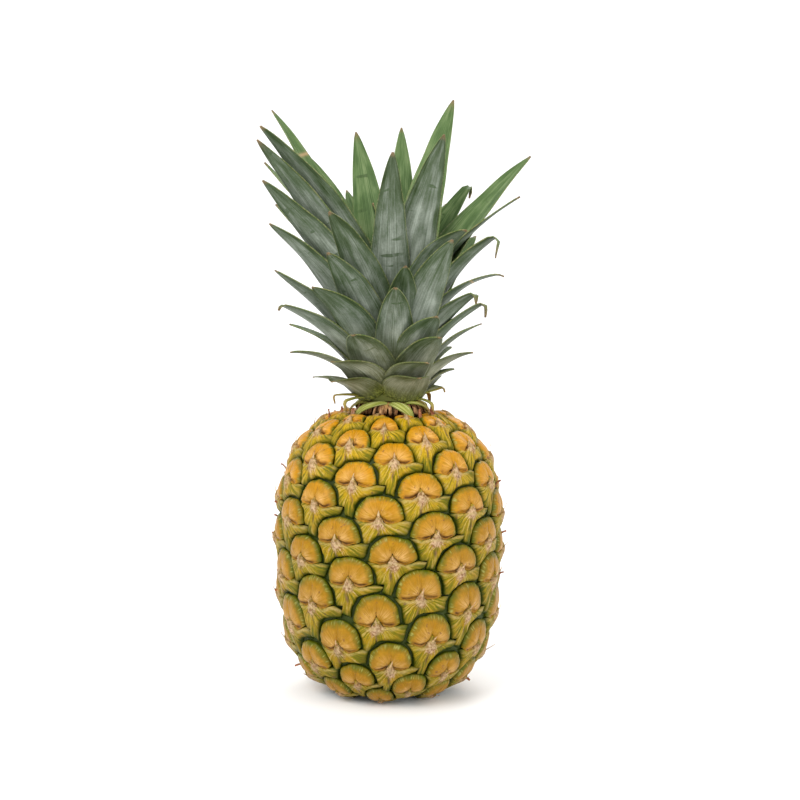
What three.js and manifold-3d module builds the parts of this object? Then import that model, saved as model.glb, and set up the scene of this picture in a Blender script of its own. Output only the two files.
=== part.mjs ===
import * as THREE from "three";
import { ConvexHull } from "three/addons/math/ConvexHull.js";
import { mergeVertices } from "three/addons/utils/BufferGeometryUtils.js";
import Module from "manifold-3d";

// A whole pineapple, upright on its base, in millimetres. +Z runs up through the crown, the origin is the
// middle of the flat spot it stands on, and -Y is the front.

// The barrel of the fruit: a superellipse turned about Z, fuller below its widest height than above.
const bodyRadius = 60.3;
const widestHeight = 83;
const lowerReach = 86;
const lowerPower = 2.8;
const upperReach = 71;
const upperPower = 2.7;
const topHeight = 153.9;

// The eyes follow one spiral up the barrel. Every second eye sits a little aside of it and lower. Low on
// the barrel they are stretched, and so stand further apart.
const eyeCount = 127;
const frontEye = 91;
const frontEyeTurn = THREE.MathUtils.degToRad(4.5);
const frontEyeWay = 145.4;
const eyeTurn = THREE.MathUtils.degToRad(137.662);
const eyeRise = 1.479;
const pairTurn = THREE.MathUtils.degToRad(-1.67);
const pairRise = -0.72;
const stretchStart = 40;
const stretchSteps = 34;
const mostStretch = 0.25;

// One eye, on a barrel of 60 mm radius: a rounded dome over a bract with two wing tips and a skirt.
const latticeRadius = 60;
const domeHalfWidth = 12;
const domeTall = 13;
const domePower = 2.4;
const domeCrown = 0.9;
const grooveFloor = -2.4;
const lobeSag = 2;
const slitDepth = 1.3;
const slitHalfTall = 1.3;
const nubHeight = 2;
const nubHalfWidth = 3.4;
const nubHalfTall = 5;
const bractCrest = 0.6;
const bractFall = 0.11;
const wingReach = 16.5;
const wingDrop = 1.4;
const wingHalfTall = 1.6;
const grooveSpread = 0.1;
const seamDepth = 1.2;
const seamSpread = 1.1;
const skirtMiddle = -7;
const closestPoints = 1.7;
const eyeWindow = 3;

// The stalk stub in the base, and the neck that the crown grows from.
const stalkRadius = 9;
const stalkLength = 12;
const clearance = 0.3;
const neckRadius = 15;
const neckSeat = 149.4;
const neckTop = 157.8;
const neckSides = 20;
const holeSides = 18;
const stalkSides = 16;
const holeOvershoot = 1;

// The dried leaf bases round the neck.
const driedLeafCount = 9;
const driedLeafWidth = 13;
const driedLeafReach = 21.5;
const driedLeafHeight = 157;
const driedLeafDroop = 1.4;
const driedRootSink = 4;
const driedRootDrop = 1;
const driedRootAim = 1.3;
const driedTipAim = 2;
const driedChannel = -0.3;
const driedStations = 3;
const driedTurnSpread = 0.4;
const driedReachSpread = 1.5;

// The crown: a tapering stem with channelled leaves.
const stemFootRadius = 16;
const stemTopRadius = 8;
const stemLength = 50;
const rootSink = 1.6;
const rootRise = 0.6;
const lowRootWidth = 0.95;
const highRootWidth = 0.5;
const lowestTip = 164;
const attachShare = 0.24;
const budTop = 236;
const budSink = 1;
const stemSides = 14;
const budSides = 7;
const budTopRadius = 1.5;
const bladeTurn = 0.28;
const leafChannel = 0.42;
const lowLeafFullness = 2.6;
const highLeafFullness = 1.7;
const leafThickness = 1.5;
const edgeThickness = 0.7;
const leafTipWidth = 1.4;
const leafStationLength = 16;
const fewestStations = 4;
const mostStations = 6;
const stationEasing = 0.86;
const handleShare = 0.36;
const swellShare = 0.35;
const taperPower = 0.82;
const channelFade = 0.6;
const rootBow = 0.5;
const lowTipBow = 0.55;
const highTipBow = 0.34;
const steepestRoot = 0.04;
const leastWidth = 0.9;
const widthSpread = 0.3;
const leafSway = 3;
const goldenTurn = THREE.MathUtils.degToRad(137.5);

// The crown's leaves that show from the front, by where each tip stands, to the right of the axis, forward
// of it and above the base, and by the blade's width.
const facingLeaves = [
  [2, 56, 218, 21],
  [7, 50, 229, 20],
  [-19, 48, 194, 23],
  [15, 36, 172, 24],
  [-30, 30, 169, 24],
  [-30, 38, 180, 23],
  [-31, 58, 255, 22],
  [-32, 50, 235, 22],
  [-40, 42, 218, 21],
  [0, 62, 284, 23],
  [25, 60, 293, 25],
  [23, 46, 204, 21],
  [25, 42, 193, 21],
  [19, 40, 180, 21],
  [30, 50, 243, 22],
  [37, 58, 246, 20],
  [-67, 38, 298, 22],
  [-68, 42, 291, 22],
  [-66, 36, 271, 21],
  [-63, 26, 250, 19],
  [-61, 18, 226, 18],
  [-56, 24, 208, 18],
  [-53, 14, 183, 17],
  [74, -20, 289, 22],
  [67, 4, 266, 18],
  [56, 16, 244, 18],
  [59, 10, 225, 17],
  [43, 28, 215, 17],
  [50, 10, 209, 16],
  [48, 2, 199, 16],
  [43, 14, 184, 17],
  [34, -4, 174, 16],
  [28, -8, 164, 14],
  [-42, -4, 169, 15],
  [-55, -6, 197, 15],
  [-66, -20, 312, 18],
  [-69, -8, 283, 17],
  [-63, -10, 261, 17],
  [-21, -34, 302, 20],
  [4, -26, 304, 20],
  [32, -24, 319, 22],
  [42, -40, 272, 18],
  [33, -25, 185, 16],
];

// The far side's leaves and the heart's follow a golden spiral.
const spiralCount = 56;
const farSide = -0.62;
const spiralLowest = 166;
const spiralHighest = 292;
const spiralReach = 30;
const spiralSpread = 41;
const spiralBend = 40;
const spiralWidth = 17;
const leastReach = 0.92;
const reachSpread = 0.1;
const heartWidth = 12;
const heartCount = 5;
const heartReach = 11;
const heartHeight = 254;
const heartStep = 4;

const fruitColor = 0xc8952a;
const stalkColor = 0x7a5a34;
const driedColor = 0xa8713f;
const leafColor = 0x5f7d5c;

const wasm = await Module();
wasm.setup();

// A closed solid from points and triangles, turned so that its faces point outwards.
function solidFrom(points, triangles) {
  let volume = 0;
  for (const [a, b, c] of triangles) {
    volume += points[a].dot(points[b].clone().cross(points[c]));
  }
  const facing = volume > 0 ? triangles : triangles.map(([a, b, c]) => [a, c, b]);
  const mesh = new wasm.Mesh({
    numProp: 3,
    vertProperties: new Float32Array(points.flatMap((point) => point.toArray())),
    triVerts: new Uint32Array(facing.flat()),
  });
  return new wasm.Manifold(mesh);
}

// A solid cylinder or cone about Z between two heights.
function roundSolid(lowRadius, highRadius, low, high, sides) {
  const geometry = new THREE.CylinderGeometry(highRadius, lowRadius, high - low, sides);
  geometry.rotateX(Math.PI / 2);
  geometry.translate(0, 0, (low + high) / 2);
  geometry.deleteAttribute("normal");
  geometry.deleteAttribute("uv");
  const merged = mergeVertices(geometry);
  const points = [];
  for (let i = 0; i < merged.attributes.position.count; i += 1) {
    points.push(new THREE.Vector3().fromBufferAttribute(merged.attributes.position, i));
  }
  const triangles = [];
  for (let i = 0; i < merged.index.count; i += 3) {
    triangles.push([0, 1, 2].map((corner) => merged.index.getX(i + corner)));
  }
  return solidFrom(points, triangles);
}

// The largest single body of a solid: loose scraps go, and a hollow sealed inside is filled.
function wholeBody(solid) {
  const bodies = solid.decompose();
  bodies.sort((a, b) => b.volume() - a.volume());
  return bodies[0];
}

function meshOf(name, solid, color, roughness) {
  const shape = solid.getMesh();
  const geometry = new THREE.BufferGeometry();
  geometry.setAttribute("position", new THREE.BufferAttribute(shape.vertProperties, 3));
  geometry.setIndex(new THREE.BufferAttribute(shape.triVerts, 1));
  geometry.computeVertexNormals();
  const material = new THREE.MeshStandardMaterial({ color, roughness, metalness: 0 });
  const mesh = new THREE.Mesh(geometry, material);
  mesh.name = name;
  return mesh;
}

// A repeatable random draw between 0 and 1.
function seededRandom(seed) {
  let state = seed;
  return () => {
    state = (state + 0x6d2b79f5) | 0;
    let mixed = Math.imul(state ^ (state >>> 15), 1 | state);
    mixed = (mixed + Math.imul(mixed ^ (mixed >>> 7), 61 | mixed)) ^ mixed;
    return ((mixed ^ (mixed >>> 14)) >>> 0) / 4294967296;
  };
}

// The direction straight out from the axis at a turn from the front.
function outward(turn) {
  return new THREE.Vector3(Math.sin(turn), -Math.cos(turn), 0);
}

// Fruit: the radius of the barrel at a height.
function barrelRadius(height) {
  const below = height < widestHeight;
  const reach = below ? lowerReach : upperReach;
  const power = below ? lowerPower : upperPower;
  const share = Math.abs(height - widestHeight) / reach;
  return bodyRadius * Math.pow(1 - Math.pow(share, power), 1 / power);
}

// The barrel's outline in short steps: the way along it from the base, the radius, the height, and the
// way on a globe of the same angles, which keeps small shapes true.
const outline = [];
const outlineStep = 0.05;
for (let height = 0; height <= topHeight; height += outlineStep) {
  const radius = barrelRadius(height);
  const last = outline.at(-1);
  const step = last ? Math.hypot(radius - last.radius, height - last.height) : 0;
  const way = last ? last.way + step : 0;
  const globe = last ? last.globe + (2 * step) / (radius + last.radius) : 0;
  outline.push({ way, radius, height, globe });
}
const outlineLength = outline.at(-1).way;
const globeMiddle = outline.at(-1).globe / 2;

function outlineAt(way) {
  let low = 0;
  let high = outline.length - 1;
  while (high - low > 1) {
    const middle = (low + high) >> 1;
    if (outline[middle].way <= way) {
      low = middle;
    } else {
      high = middle;
    }
  }
  const from = outline[low];
  const to = outline[high];
  const share = (way - from.way) / (to.way - from.way);
  const tangent = new THREE.Vector2(to.radius - from.radius, to.height - from.height).normalize();
  return {
    radius: THREE.MathUtils.lerp(from.radius, to.radius, share),
    height: THREE.MathUtils.lerp(from.height, to.height, share),
    globe: THREE.MathUtils.lerp(from.globe, to.globe, share) - globeMiddle,
    normal: new THREE.Vector2(tangent.y, -tangent.x),
  };
}

// Where each eye's nub sits, its turn about Z and its way up the outline, and how much it is stretched.
const eyes = [];
for (let i = 0; i < eyeCount; i += 1) {
  const steps = i - frontEye;
  const side = steps % 2 === 0 ? 1 : -1;
  const arc = Math.PI * THREE.MathUtils.clamp((-steps - stretchStart) / stretchSteps, 0, 1);
  const lower = mostStretch * eyeRise * (stretchSteps / Math.PI) * (1 - Math.cos(arc));
  eyes.push({
    turn: frontEyeTurn + eyeTurn * steps + pairTurn * side,
    way: frontEyeWay + eyeRise * steps + pairRise * side - lower,
    stretch: 1 + mostStretch * Math.sin(arc),
  });
}

// How far round the dome's arch a point lies, with 1 on the arch itself.
function archShare(across, up) {
  const wide = Math.pow(Math.abs(across) / domeHalfWidth, domePower);
  const tall = Math.pow(Math.max(up, 0) / domeTall, domePower);
  return Math.pow(wide + tall, 1 / domePower);
}

// The height of the line between dome and bract: two lobes that sag on both sides of the nub.
function waistHeight(across) {
  const share = Math.min(Math.abs(across) / domeHalfWidth, 1);
  return -lobeSag * Math.pow(Math.sin(Math.PI * share), 2);
}

function domeRelief(across, up) {
  const arch = archShare(across, up);
  const pillow = Math.sqrt(Math.max(1 - Math.pow(arch, 6), 0));
  const besideNub = Math.min(Math.abs(across) / nubHalfWidth, 1);
  const slit = slitDepth * besideNub * Math.exp(-Math.pow((up - waistHeight(across)) / slitHalfTall, 2));
  return grooveFloor + (domeCrown - grooveFloor) * pillow - slit * pillow;
}

function bractRelief(across, up) {
  const wing = wingDrop * Math.pow(across / wingReach, 2);
  const nub = nubHeight * Math.exp(-Math.pow(across / nubHalfWidth, 2) - Math.pow(up / nubHalfTall, 2));
  return bractCrest + nub - wing - bractFall * Math.max(waistHeight(across) - up, 0);
}

// The height of the skin over the barrel: the dome that covers the place, or else the nearest bract, which
// sinks into the dark groove round each dome and into a seam where two bracts meet.
function skinRelief(turn, way) {
  let nearest = Infinity;
  let second = Infinity;
  let owner = null;
  let groove = 0;
  for (const eye of eyes) {
    const up = (way - eye.way) / eye.stretch;
    if (Math.abs(up) > eyeWindow * domeTall) {
      continue;
    }
    const across = latticeRadius * Math.atan2(Math.sin(turn - eye.turn), Math.cos(turn - eye.turn));
    if (Math.abs(across) > eyeWindow * domeHalfWidth) {
      continue;
    }
    const arch = archShare(across, up);
    const overWaist = up >= waistHeight(across);
    if (arch < 1 && overWaist) {
      return domeRelief(across, up);
    }
    if (up > 0) {
      groove = Math.max(groove, Math.exp(-Math.pow((arch - 1) / grooveSpread, 2)));
    }
    const wingEdge = wingHalfTall * (1 - Math.abs(across) / wingReach);
    const onWing = Math.abs(up + wingHalfTall) < wingEdge;
    const distance = onWing ? 0 : Math.hypot(across, up - skirtMiddle);
    if (distance < nearest) {
      second = nearest;
      nearest = distance;
      owner = { across, up };
    } else if (distance < second) {
      second = distance;
    }
  }
  if (!owner) {
    return grooveFloor;
  }
  const seam = seamDepth * Math.exp(-Math.pow((second - nearest) / seamSpread, 2));
  const bract = bractRelief(owner.across, owner.up) - seam;
  return THREE.MathUtils.lerp(bract, grooveFloor, groove);
}

// A point of an eye's dome, by its angle round the arch and its share of the way out to it.
function archPoint(degrees, share) {
  const angle = THREE.MathUtils.degToRad(degrees);
  const across = Math.sign(Math.cos(angle)) * Math.pow(Math.abs(Math.cos(angle)), 2 / domePower);
  const up = Math.pow(Math.sin(angle), 2 / domePower);
  return [domeHalfWidth * share * across, domeTall * share * up];
}

// The points that carry one eye's shape, the most needed first, across and up from its nub.
const eyePoints = [
  [0, -0.4],
  ...[4, 32, 61, 90, 119, 148, 176].map((degrees) => archPoint(degrees, 1.01)),
  ...[14, 45, 75, 105, 135, 166].map((degrees) => archPoint(degrees, 0.84)),
  [-5.6, -1.3],
  [5.6, -1.3],
  [-6.2, -3.4],
  [6.2, -3.4],
  [-15.2, -1.7],
  [15.2, -1.7],
  [-4.2, 5],
  [4.2, 5],
  [-1, -6.4],
  [-6.4, -9],
  [4.6, -8],
  [-3.6, -12.6],
];

// The fruit's skin: every eye's points, and rings at the base and the top, joined as the nearest
// neighbours on the globe are.
function fruitSkin() {
  const points = [];
  const onGlobe = [];
  function place(turn, way, relief) {
    const at = outlineAt(way);
    const point = outward(turn).multiplyScalar(at.radius + relief * at.normal.x);
    point.z = Math.max(at.height + relief * at.normal.y, 0);
    const tooClose = points.some((other) => other.distanceToSquared(point) < closestPoints ** 2);
    if (tooClose) {
      return;
    }
    points.push(point);
    const latitude = 2 * Math.atan(Math.exp(at.globe)) - Math.PI / 2;
    const spot = outward(turn).multiplyScalar(Math.cos(latitude));
    spot.z = Math.sin(latitude);
    spot.owner = points.length - 1;
    onGlobe.push(spot);
  }
  for (const [across, up] of eyePoints) {
    for (const eye of eyes) {
      const turn = eye.turn + across / latticeRadius;
      const way = eye.way + up * eye.stretch;
      if (way > 0 && way < outlineLength) {
        const size = Math.min(outlineAt(way).radius / latticeRadius, 1);
        place(turn, way, skinRelief(turn, way) * Math.sqrt(size));
      }
    }
  }
  for (const [height, pole] of [[0, -1], [topHeight, 1]]) {
    points.push(new THREE.Vector3(0, 0, height));
    const spot = new THREE.Vector3(0, 0, pole);
    spot.owner = points.length - 1;
    onGlobe.push(spot);
  }
  const triangles = [];
  for (const face of new ConvexHull().setFromPoints(onGlobe).faces) {
    const corners = [face.edge, face.edge.next, face.edge.next.next];
    triangles.push(corners.map((corner) => corner.head().point.owner));
  }
  return solidFrom(points, triangles);
}

function fruit() {
  const stalkGap = stalkRadius + clearance;
  const neckGap = neckRadius + clearance;
  const stalkHole = roundSolid(stalkGap, stalkGap, -holeOvershoot, stalkLength + clearance, holeSides);
  const neckHole = roundSolid(neckGap, neckGap, neckSeat, neckTop + holeOvershoot, holeSides);
  const skin = fruitSkin();
  return wholeBody(skin.subtract(stalkHole).subtract(neckHole));
}

// Stalk: the cut stub in the base, its cut face level with the flat spot.
function stalk() {
  return roundSolid(stalkRadius, stalkRadius, 0, stalkLength, stalkSides);
}

// A blade along a bent midrib, from its root to its tip: a shallow channel, thicker in the middle, whose
// edges turn up towards the stem. On the diagonals it is twisted a little, towards the front or the back.
function blade({ root, rootAim, tip, tipAim, rootWidth, width, fullness, channel, sway, stations }) {
  const reach = root.distanceTo(tip) * handleShare;
  const turn = Math.atan2(tip.x, -tip.y);
  const out = outward(turn);
  const face = outward(turn - bladeTurn * Math.sin(2 * turn));
  const side = new THREE.Vector3(-face.y, face.x, 0);
  const aim = (lean) => out.clone().multiplyScalar(Math.sin(lean)).setZ(Math.cos(lean));
  const midrib = new THREE.CubicBezierCurve3(
    root,
    aim(rootAim).multiplyScalar(reach).add(root).addScaledVector(side, sway),
    tip.clone().addScaledVector(aim(tipAim), -reach).addScaledVector(side, sway),
    tip,
  );
  const points = [];
  const triangles = [];
  const ring = 6;
  for (let i = 0; i <= stations; i += 1) {
    const share = Math.pow(i / stations, stationEasing);
    const middle = midrib.getPoint(share);
    const along = midrib.getTangent(share);
    const across = side.clone().addScaledVector(along, -side.dot(along)).normalize();
    const inward = along.clone().cross(across);
    const swellAngle = (Math.PI / 2) * Math.min(share / swellShare, 1);
    const swell = THREE.MathUtils.lerp(rootWidth, 1, Math.sin(swellAngle));
    const taper = Math.pow(1 - Math.pow(share, fullness), taperPower);
    const half = (width * swell * taper + leafTipWidth * share) / 2;
    const lift = half * channel * (1 - channelFade * share);
    const middleHalf = THREE.MathUtils.lerp(leafThickness, edgeThickness, share) / 2;
    const edgeHalf = edgeThickness / 2;
    const section = [
      [-half, lift + edgeHalf],
      [0, middleHalf],
      [half, lift + edgeHalf],
      [half, lift - edgeHalf],
      [0, -middleHalf],
      [-half, lift - edgeHalf],
    ];
    for (const [sideways, up] of section) {
      points.push(middle.clone().addScaledVector(across, sideways).addScaledVector(inward, up));
    }
  }
  for (let i = 0; i < stations; i += 1) {
    for (let j = 0; j < ring; j += 1) {
      const a = i * ring + j;
      const b = i * ring + (j + 1) % ring;
      triangles.push([a, b, a + ring], [b, b + ring, a + ring]);
    }
  }
  const last = stations * ring;
  triangles.push([0, 5, 4], [0, 4, 1], [1, 4, 3], [1, 3, 2]);
  triangles.push([last, last + 4, last + 5], [last, last + 1, last + 4]);
  triangles.push([last + 1, last + 3, last + 4], [last + 1, last + 2, last + 3]);
  return solidFrom(points, triangles);
}

// Collar: the neck, with its dried leaf bases arching out over the fruit.
function collar() {
  const random = seededRandom(11);
  const dried = [];
  for (let i = 0; i < driedLeafCount; i += 1) {
    const turn = (2 * Math.PI * (i + driedTurnSpread * random())) / driedLeafCount;
    const root = outward(turn).multiplyScalar(neckRadius - driedRootSink);
    root.z = driedLeafHeight - driedRootDrop;
    const reach = driedLeafReach + driedReachSpread * (random() - 0.5);
    const tip = outward(turn).multiplyScalar(reach).setZ(driedLeafHeight - driedLeafDroop);
    dried.push(blade({
      root,
      rootAim: driedRootAim,
      tip,
      tipAim: driedTipAim,
      width: driedLeafWidth * (leastWidth + widthSpread * random()),
      rootWidth: lowRootWidth,
      fullness: lowLeafFullness,
      channel: driedChannel,
      sway: 0,
      stations: driedStations,
    }));
  }
  const neck = roundSolid(neckRadius, neckRadius, neckSeat + clearance, neckTop, neckSides);
  return wholeBody(wasm.Manifold.union([neck, ...dried]));
}

// A crown leaf to a tip: its root is sunk in the stem, higher up for a leaf that reaches higher.
function crownLeaf(tip, width, sway) {
  const rise = attachShare * Math.max(tip.z - lowestTip, 0);
  const stemRadius = THREE.MathUtils.lerp(stemFootRadius, stemTopRadius, Math.min(rise / stemLength, 1));
  const turn = Math.atan2(tip.x, -tip.y);
  const root = outward(turn).multiplyScalar(Math.max(stemRadius - rootSink, 1));
  root.z = neckTop + clearance + rootRise + rise;
  const lean = Math.atan2(Math.hypot(tip.x, tip.y) - Math.hypot(root.x, root.y), tip.z - root.z);
  const height = Math.min((2 * rise) / stemLength, 1);
  const stations = Math.round(root.distanceTo(tip) / leafStationLength);
  return blade({
    root,
    rootAim: Math.max(lean - rootBow, steepestRoot),
    tip,
    tipAim: lean + THREE.MathUtils.lerp(lowTipBow, highTipBow, height),
    width,
    rootWidth: THREE.MathUtils.lerp(lowRootWidth, highRootWidth, height),
    fullness: THREE.MathUtils.lerp(lowLeafFullness, highLeafFullness, height),
    channel: leafChannel,
    sway,
    stations: THREE.MathUtils.clamp(stations, fewestStations, mostStations),
  });
}

// Crown: the stem and all its leaves as one body.
function crown() {
  const random = seededRandom(5);
  const leaves = facingLeaves.map(([right, forward, height, width]) => (
    crownLeaf(new THREE.Vector3(right, -forward, height), width, leafSway * (2 * random() - 1))
  ));
  for (let i = 0; i < spiralCount; i += 1) {
    const turn = goldenTurn * i;
    const height = THREE.MathUtils.lerp(spiralLowest, spiralHighest, i / (spiralCount - 1));
    const reach = spiralReach + spiralSpread * (1 - Math.exp(-(height - neckTop) / spiralBend));
    const tip = outward(turn).multiplyScalar(reach * (leastReach + reachSpread * random())).setZ(height);
    const sway = leafSway * (2 * random() - 1);
    if (Math.cos(turn) < farSide) {
      leaves.push(crownLeaf(tip, spiralWidth * (leastWidth + widthSpread * random()), sway));
    }
  }
  for (let i = 0; i < heartCount; i += 1) {
    const tip = outward(goldenTurn * i).multiplyScalar(heartReach).setZ(heartHeight + heartStep * i);
    leaves.push(crownLeaf(tip, heartWidth, 0));
  }
  const stemTop = neckTop + stemLength;
  const stem = roundSolid(stemFootRadius, stemTopRadius, neckTop + clearance, stemTop, stemSides);
  const bud = roundSolid(stemTopRadius, budTopRadius, stemTop - budSink, budTop, budSides);
  return wholeBody(wasm.Manifold.union([stem, bud, ...leaves]));
}

const pineapple = new THREE.Group();
pineapple.add(meshOf("fruit", fruit(), fruitColor, 0.55));
pineapple.add(meshOf("stalk", stalk(), stalkColor, 0.8));
pineapple.add(meshOf("collar", collar(), driedColor, 0.8));
pineapple.add(meshOf("crown", crown(), leafColor, 0.5));

export default pineapple;
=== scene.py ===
import math

import bpy
import numpy as np
from mathutils import Matrix, Vector


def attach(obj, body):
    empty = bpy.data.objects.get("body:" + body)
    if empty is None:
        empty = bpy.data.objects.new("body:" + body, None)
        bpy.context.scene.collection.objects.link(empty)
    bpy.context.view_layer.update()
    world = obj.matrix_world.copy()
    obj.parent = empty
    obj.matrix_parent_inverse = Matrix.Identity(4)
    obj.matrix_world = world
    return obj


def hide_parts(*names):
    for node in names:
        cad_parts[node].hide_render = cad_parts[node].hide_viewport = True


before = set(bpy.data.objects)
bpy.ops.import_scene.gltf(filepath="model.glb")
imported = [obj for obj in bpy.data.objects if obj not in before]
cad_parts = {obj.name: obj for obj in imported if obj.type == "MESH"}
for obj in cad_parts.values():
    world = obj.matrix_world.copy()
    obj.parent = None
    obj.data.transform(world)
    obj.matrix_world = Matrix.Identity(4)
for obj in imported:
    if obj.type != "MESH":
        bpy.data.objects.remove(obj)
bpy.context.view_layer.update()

# Camera: the photo looks almost level at the fruit from in front, a little from above, with a long lens.
# The axis of the fruit stands just left of the picture's middle.
VIEW_DISTANCE = 0.80
VIEW_ELEVATION = math.radians(5.07)
VIEW_ROLL = math.radians(0.7)
VIEW_LENS, VIEW_SENSOR = 67.2, 36
VIEW_NEAREST = 0.01
VIEW_HEIGHT = 0.1575
VIEW_ASIDE = 0.0050

camera = bpy.data.objects.new("camera", bpy.data.cameras.new("camera"))
camera.data.lens = VIEW_LENS
camera.data.sensor_width = VIEW_SENSOR
camera.data.clip_start = VIEW_NEAREST
aim = Vector((VIEW_ASIDE, 0, VIEW_HEIGHT))
camera.location = aim + VIEW_DISTANCE * Vector((0, -math.cos(VIEW_ELEVATION), math.sin(VIEW_ELEVATION)))
level = (aim - camera.location).to_track_quat("-Z", "Y").to_matrix()
camera.rotation_euler = (level @ Matrix.Rotation(VIEW_ROLL, 3, "Z")).to_euler()
bpy.context.collection.objects.link(camera)
bpy.context.scene.camera = camera

# Studio: a white sweep of floor and wall that runs out of the picture, so that the fruit stands on a bright
# field with only a faint shadow under it.
FLOOR_HALF_WIDTH = 2.2
FLOOR_FRONT = -2.0
FLOOR_BACK = 1.3
SWEEP_RADIUS = 0.6
WALL_HEIGHT = 2.4
SWEEP_STEPS = 16
FLOOR_WHITE, FLOOR_ROUGHNESS = (0.93, 0.93, 0.93, 1), 0.9

sweep = [(FLOOR_FRONT, 0.0)]
for step in range(SWEEP_STEPS + 1):
    angle = math.pi / 2 * step / SWEEP_STEPS
    sweep.append((FLOOR_BACK + SWEEP_RADIUS * math.sin(angle), SWEEP_RADIUS * (1 - math.cos(angle))))
sweep.append((FLOOR_BACK + SWEEP_RADIUS, WALL_HEIGHT))
floor_points = [(side * FLOOR_HALF_WIDTH, y, z) for y, z in sweep for side in (-1, 1)]
floor_faces = [(2 * i, 2 * i + 1, 2 * i + 3, 2 * i + 2) for i in range(len(sweep) - 1)]
floor_mesh = bpy.data.meshes.new("floor")
floor_mesh.from_pydata(floor_points, [], floor_faces)
floor_mesh.shade_smooth()
floor = bpy.data.objects.new("floor", floor_mesh)
bpy.context.collection.objects.link(floor)
floor_paint = bpy.data.materials.new("floor_white")
floor_paint.use_nodes = True
floor_shader = floor_paint.node_tree.nodes["Principled BSDF"]
floor_shader.inputs["Base Color"].default_value = FLOOR_WHITE
floor_shader.inputs["Roughness"].default_value = FLOOR_ROUGHNESS
floor_mesh.materials.append(floor_paint)

# Lights: a large soft box over the left shoulder of the camera, a weaker one from the right, one from
# behind to edge the leaves, and an even white room.
SOFT_BOXES = (
    ("key_light", (-0.9, -1.1, 1.3), 1.2, 24),
    ("fill_light", (1.3, -1.0, 0.7), 1.4, 11),
    ("back_light", (0.3, 1.0, 1.5), 1.2, 12),
)
ROOM_WHITE = (1, 1, 1, 1)
ROOM_STRENGTH = 0.9

for name, place, size, power in SOFT_BOXES:
    lamp = bpy.data.lights.new(name, "AREA")
    lamp.shape = "DISK"
    lamp.size = size
    lamp.energy = power
    box = bpy.data.objects.new(name, lamp)
    box.location = place
    box.rotation_euler = (aim - Vector(place)).to_track_quat("-Z", "Y").to_euler()
    bpy.context.collection.objects.link(box)
room = bpy.data.worlds.new("room")
room.use_nodes = True
room.node_tree.nodes["Background"].inputs["Color"].default_value = ROOM_WHITE
room.node_tree.nodes["Background"].inputs["Strength"].default_value = ROOM_STRENGTH
bpy.context.scene.world = room
bpy.context.scene.view_settings.view_transform = "Standard"

# Fruit ground: the dark green skin between the eyes, seen only at the bottom of the grooves. It is the barrel
# of the fruit, a superellipse turned about Z, a little smaller than where the eyes stand. It grows round the
# stalk below and the neck above, where it dips and is brown.
BODY_RADIUS = 0.0599
WIDEST_HEIGHT = 0.083
LOWER_REACH, LOWER_POWER = 0.086, 2.8
UPPER_REACH, UPPER_POWER = 0.071, 2.7
TOP_HEIGHT = 0.1539
OUTLINE_STEPS = 400
GROUND_DEPTH = 0.0027
GROUND_SIDES = 160
GROUND_ROWS = 120
REST_HEIGHT = 0.0004
NECK_HOLE_RADIUS, NECK_SEAT = 0.0153, 0.1494
NECK_GAP = 0.0002
STALK_HOLE_RADIUS, STALK_HOLE_TOP = 0.0093, 0.0123
DIP_OUTSIDE, DIP_INSIDE, DIP_DEPTH = 0.028, 0.016, 0.0034
MOTTLE_SCALE = 260.0
MOTTLE_GREENS = ((0, (0.012, 0.022, 0.001)), (1, (0.040, 0.056, 0.003)))
BROWN_FROM, BROWN_TO = 0.019, 0.016
NECK_BROWN = (0.15, 0.065, 0.018)


class Value:
    """What a node gives out, so that sums and products of such values are written as on paper."""

    def __init__(self, socket):
        self.socket = socket

    def __add__(self, other):
        return maths("ADD", self, other)

    def __sub__(self, other):
        return maths("SUBTRACT", self, other)

    def __rsub__(self, other):
        return maths("SUBTRACT", other, self)

    def __mul__(self, other):
        return maths("MULTIPLY", self, other)

    def __truediv__(self, other):
        return maths("DIVIDE", self, other)

    def __pow__(self, other):
        return maths("POWER", self, other)

    __radd__, __rmul__ = __add__, __mul__


def tree_of(*terms):
    return next(term.socket.id_data for term in terms if isinstance(term, Value))


def node(tree, kind, inputs=None, **settings):
    made = tree.nodes.new(kind)
    for name, setting in settings.items():
        setattr(made, name, setting)
    for key, given in (inputs or {}).items():
        if isinstance(given, Value):
            tree.links.new(given.socket, made.inputs[key])
        else:
            made.inputs[key].default_value = given
    return made


def value(tree, kind, inputs=None, output=0, **settings):
    return Value(node(tree, kind, inputs, **settings).outputs[output])


def maths(operation, *terms):
    return value(tree_of(*terms), "ShaderNodeMath", dict(enumerate(terms)), operation=operation)


def split(place):
    return [Value(output) for output in node(tree_of(place), "ShaderNodeSeparateXYZ", {0: place}).outputs]


def rising(given, low, high, most=1.0):
    """From 0 at a low value, up to the most at a high one."""
    return value(tree_of(given), "ShaderNodeMapRange", {0: given, 1: low, 2: high, 4: most})


def noise(place, scale, detail=3.0):
    inputs = {"Vector": place, "Scale": scale, "Detail": detail}
    return value(tree_of(place), "ShaderNodeTexNoise", inputs, "Fac")


def ramp(given, stops):
    """Colours along a value, from stops of (position, (red, green, blue))."""
    made = node(tree_of(given), "ShaderNodeValToRGB", {"Fac": given})
    elements = made.color_ramp.elements
    while len(elements) < len(stops):
        elements.new(0.5)
    for element, (position, colour) in zip(elements, stops):
        element.position = position
        element.color = (*colour, 1)
    return Value(made.outputs["Color"])


def blend(share, first, second):
    """The first colour where the share is 0, turning into the second one as it rises to 1."""
    first, second = (colour if isinstance(colour, Value) else (*colour, 1) for colour in (first, second))
    inputs = {"Factor": share, 6: first, 7: second}
    return value(tree_of(share), "ShaderNodeMix", inputs, 2, data_type="RGBA")


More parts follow.
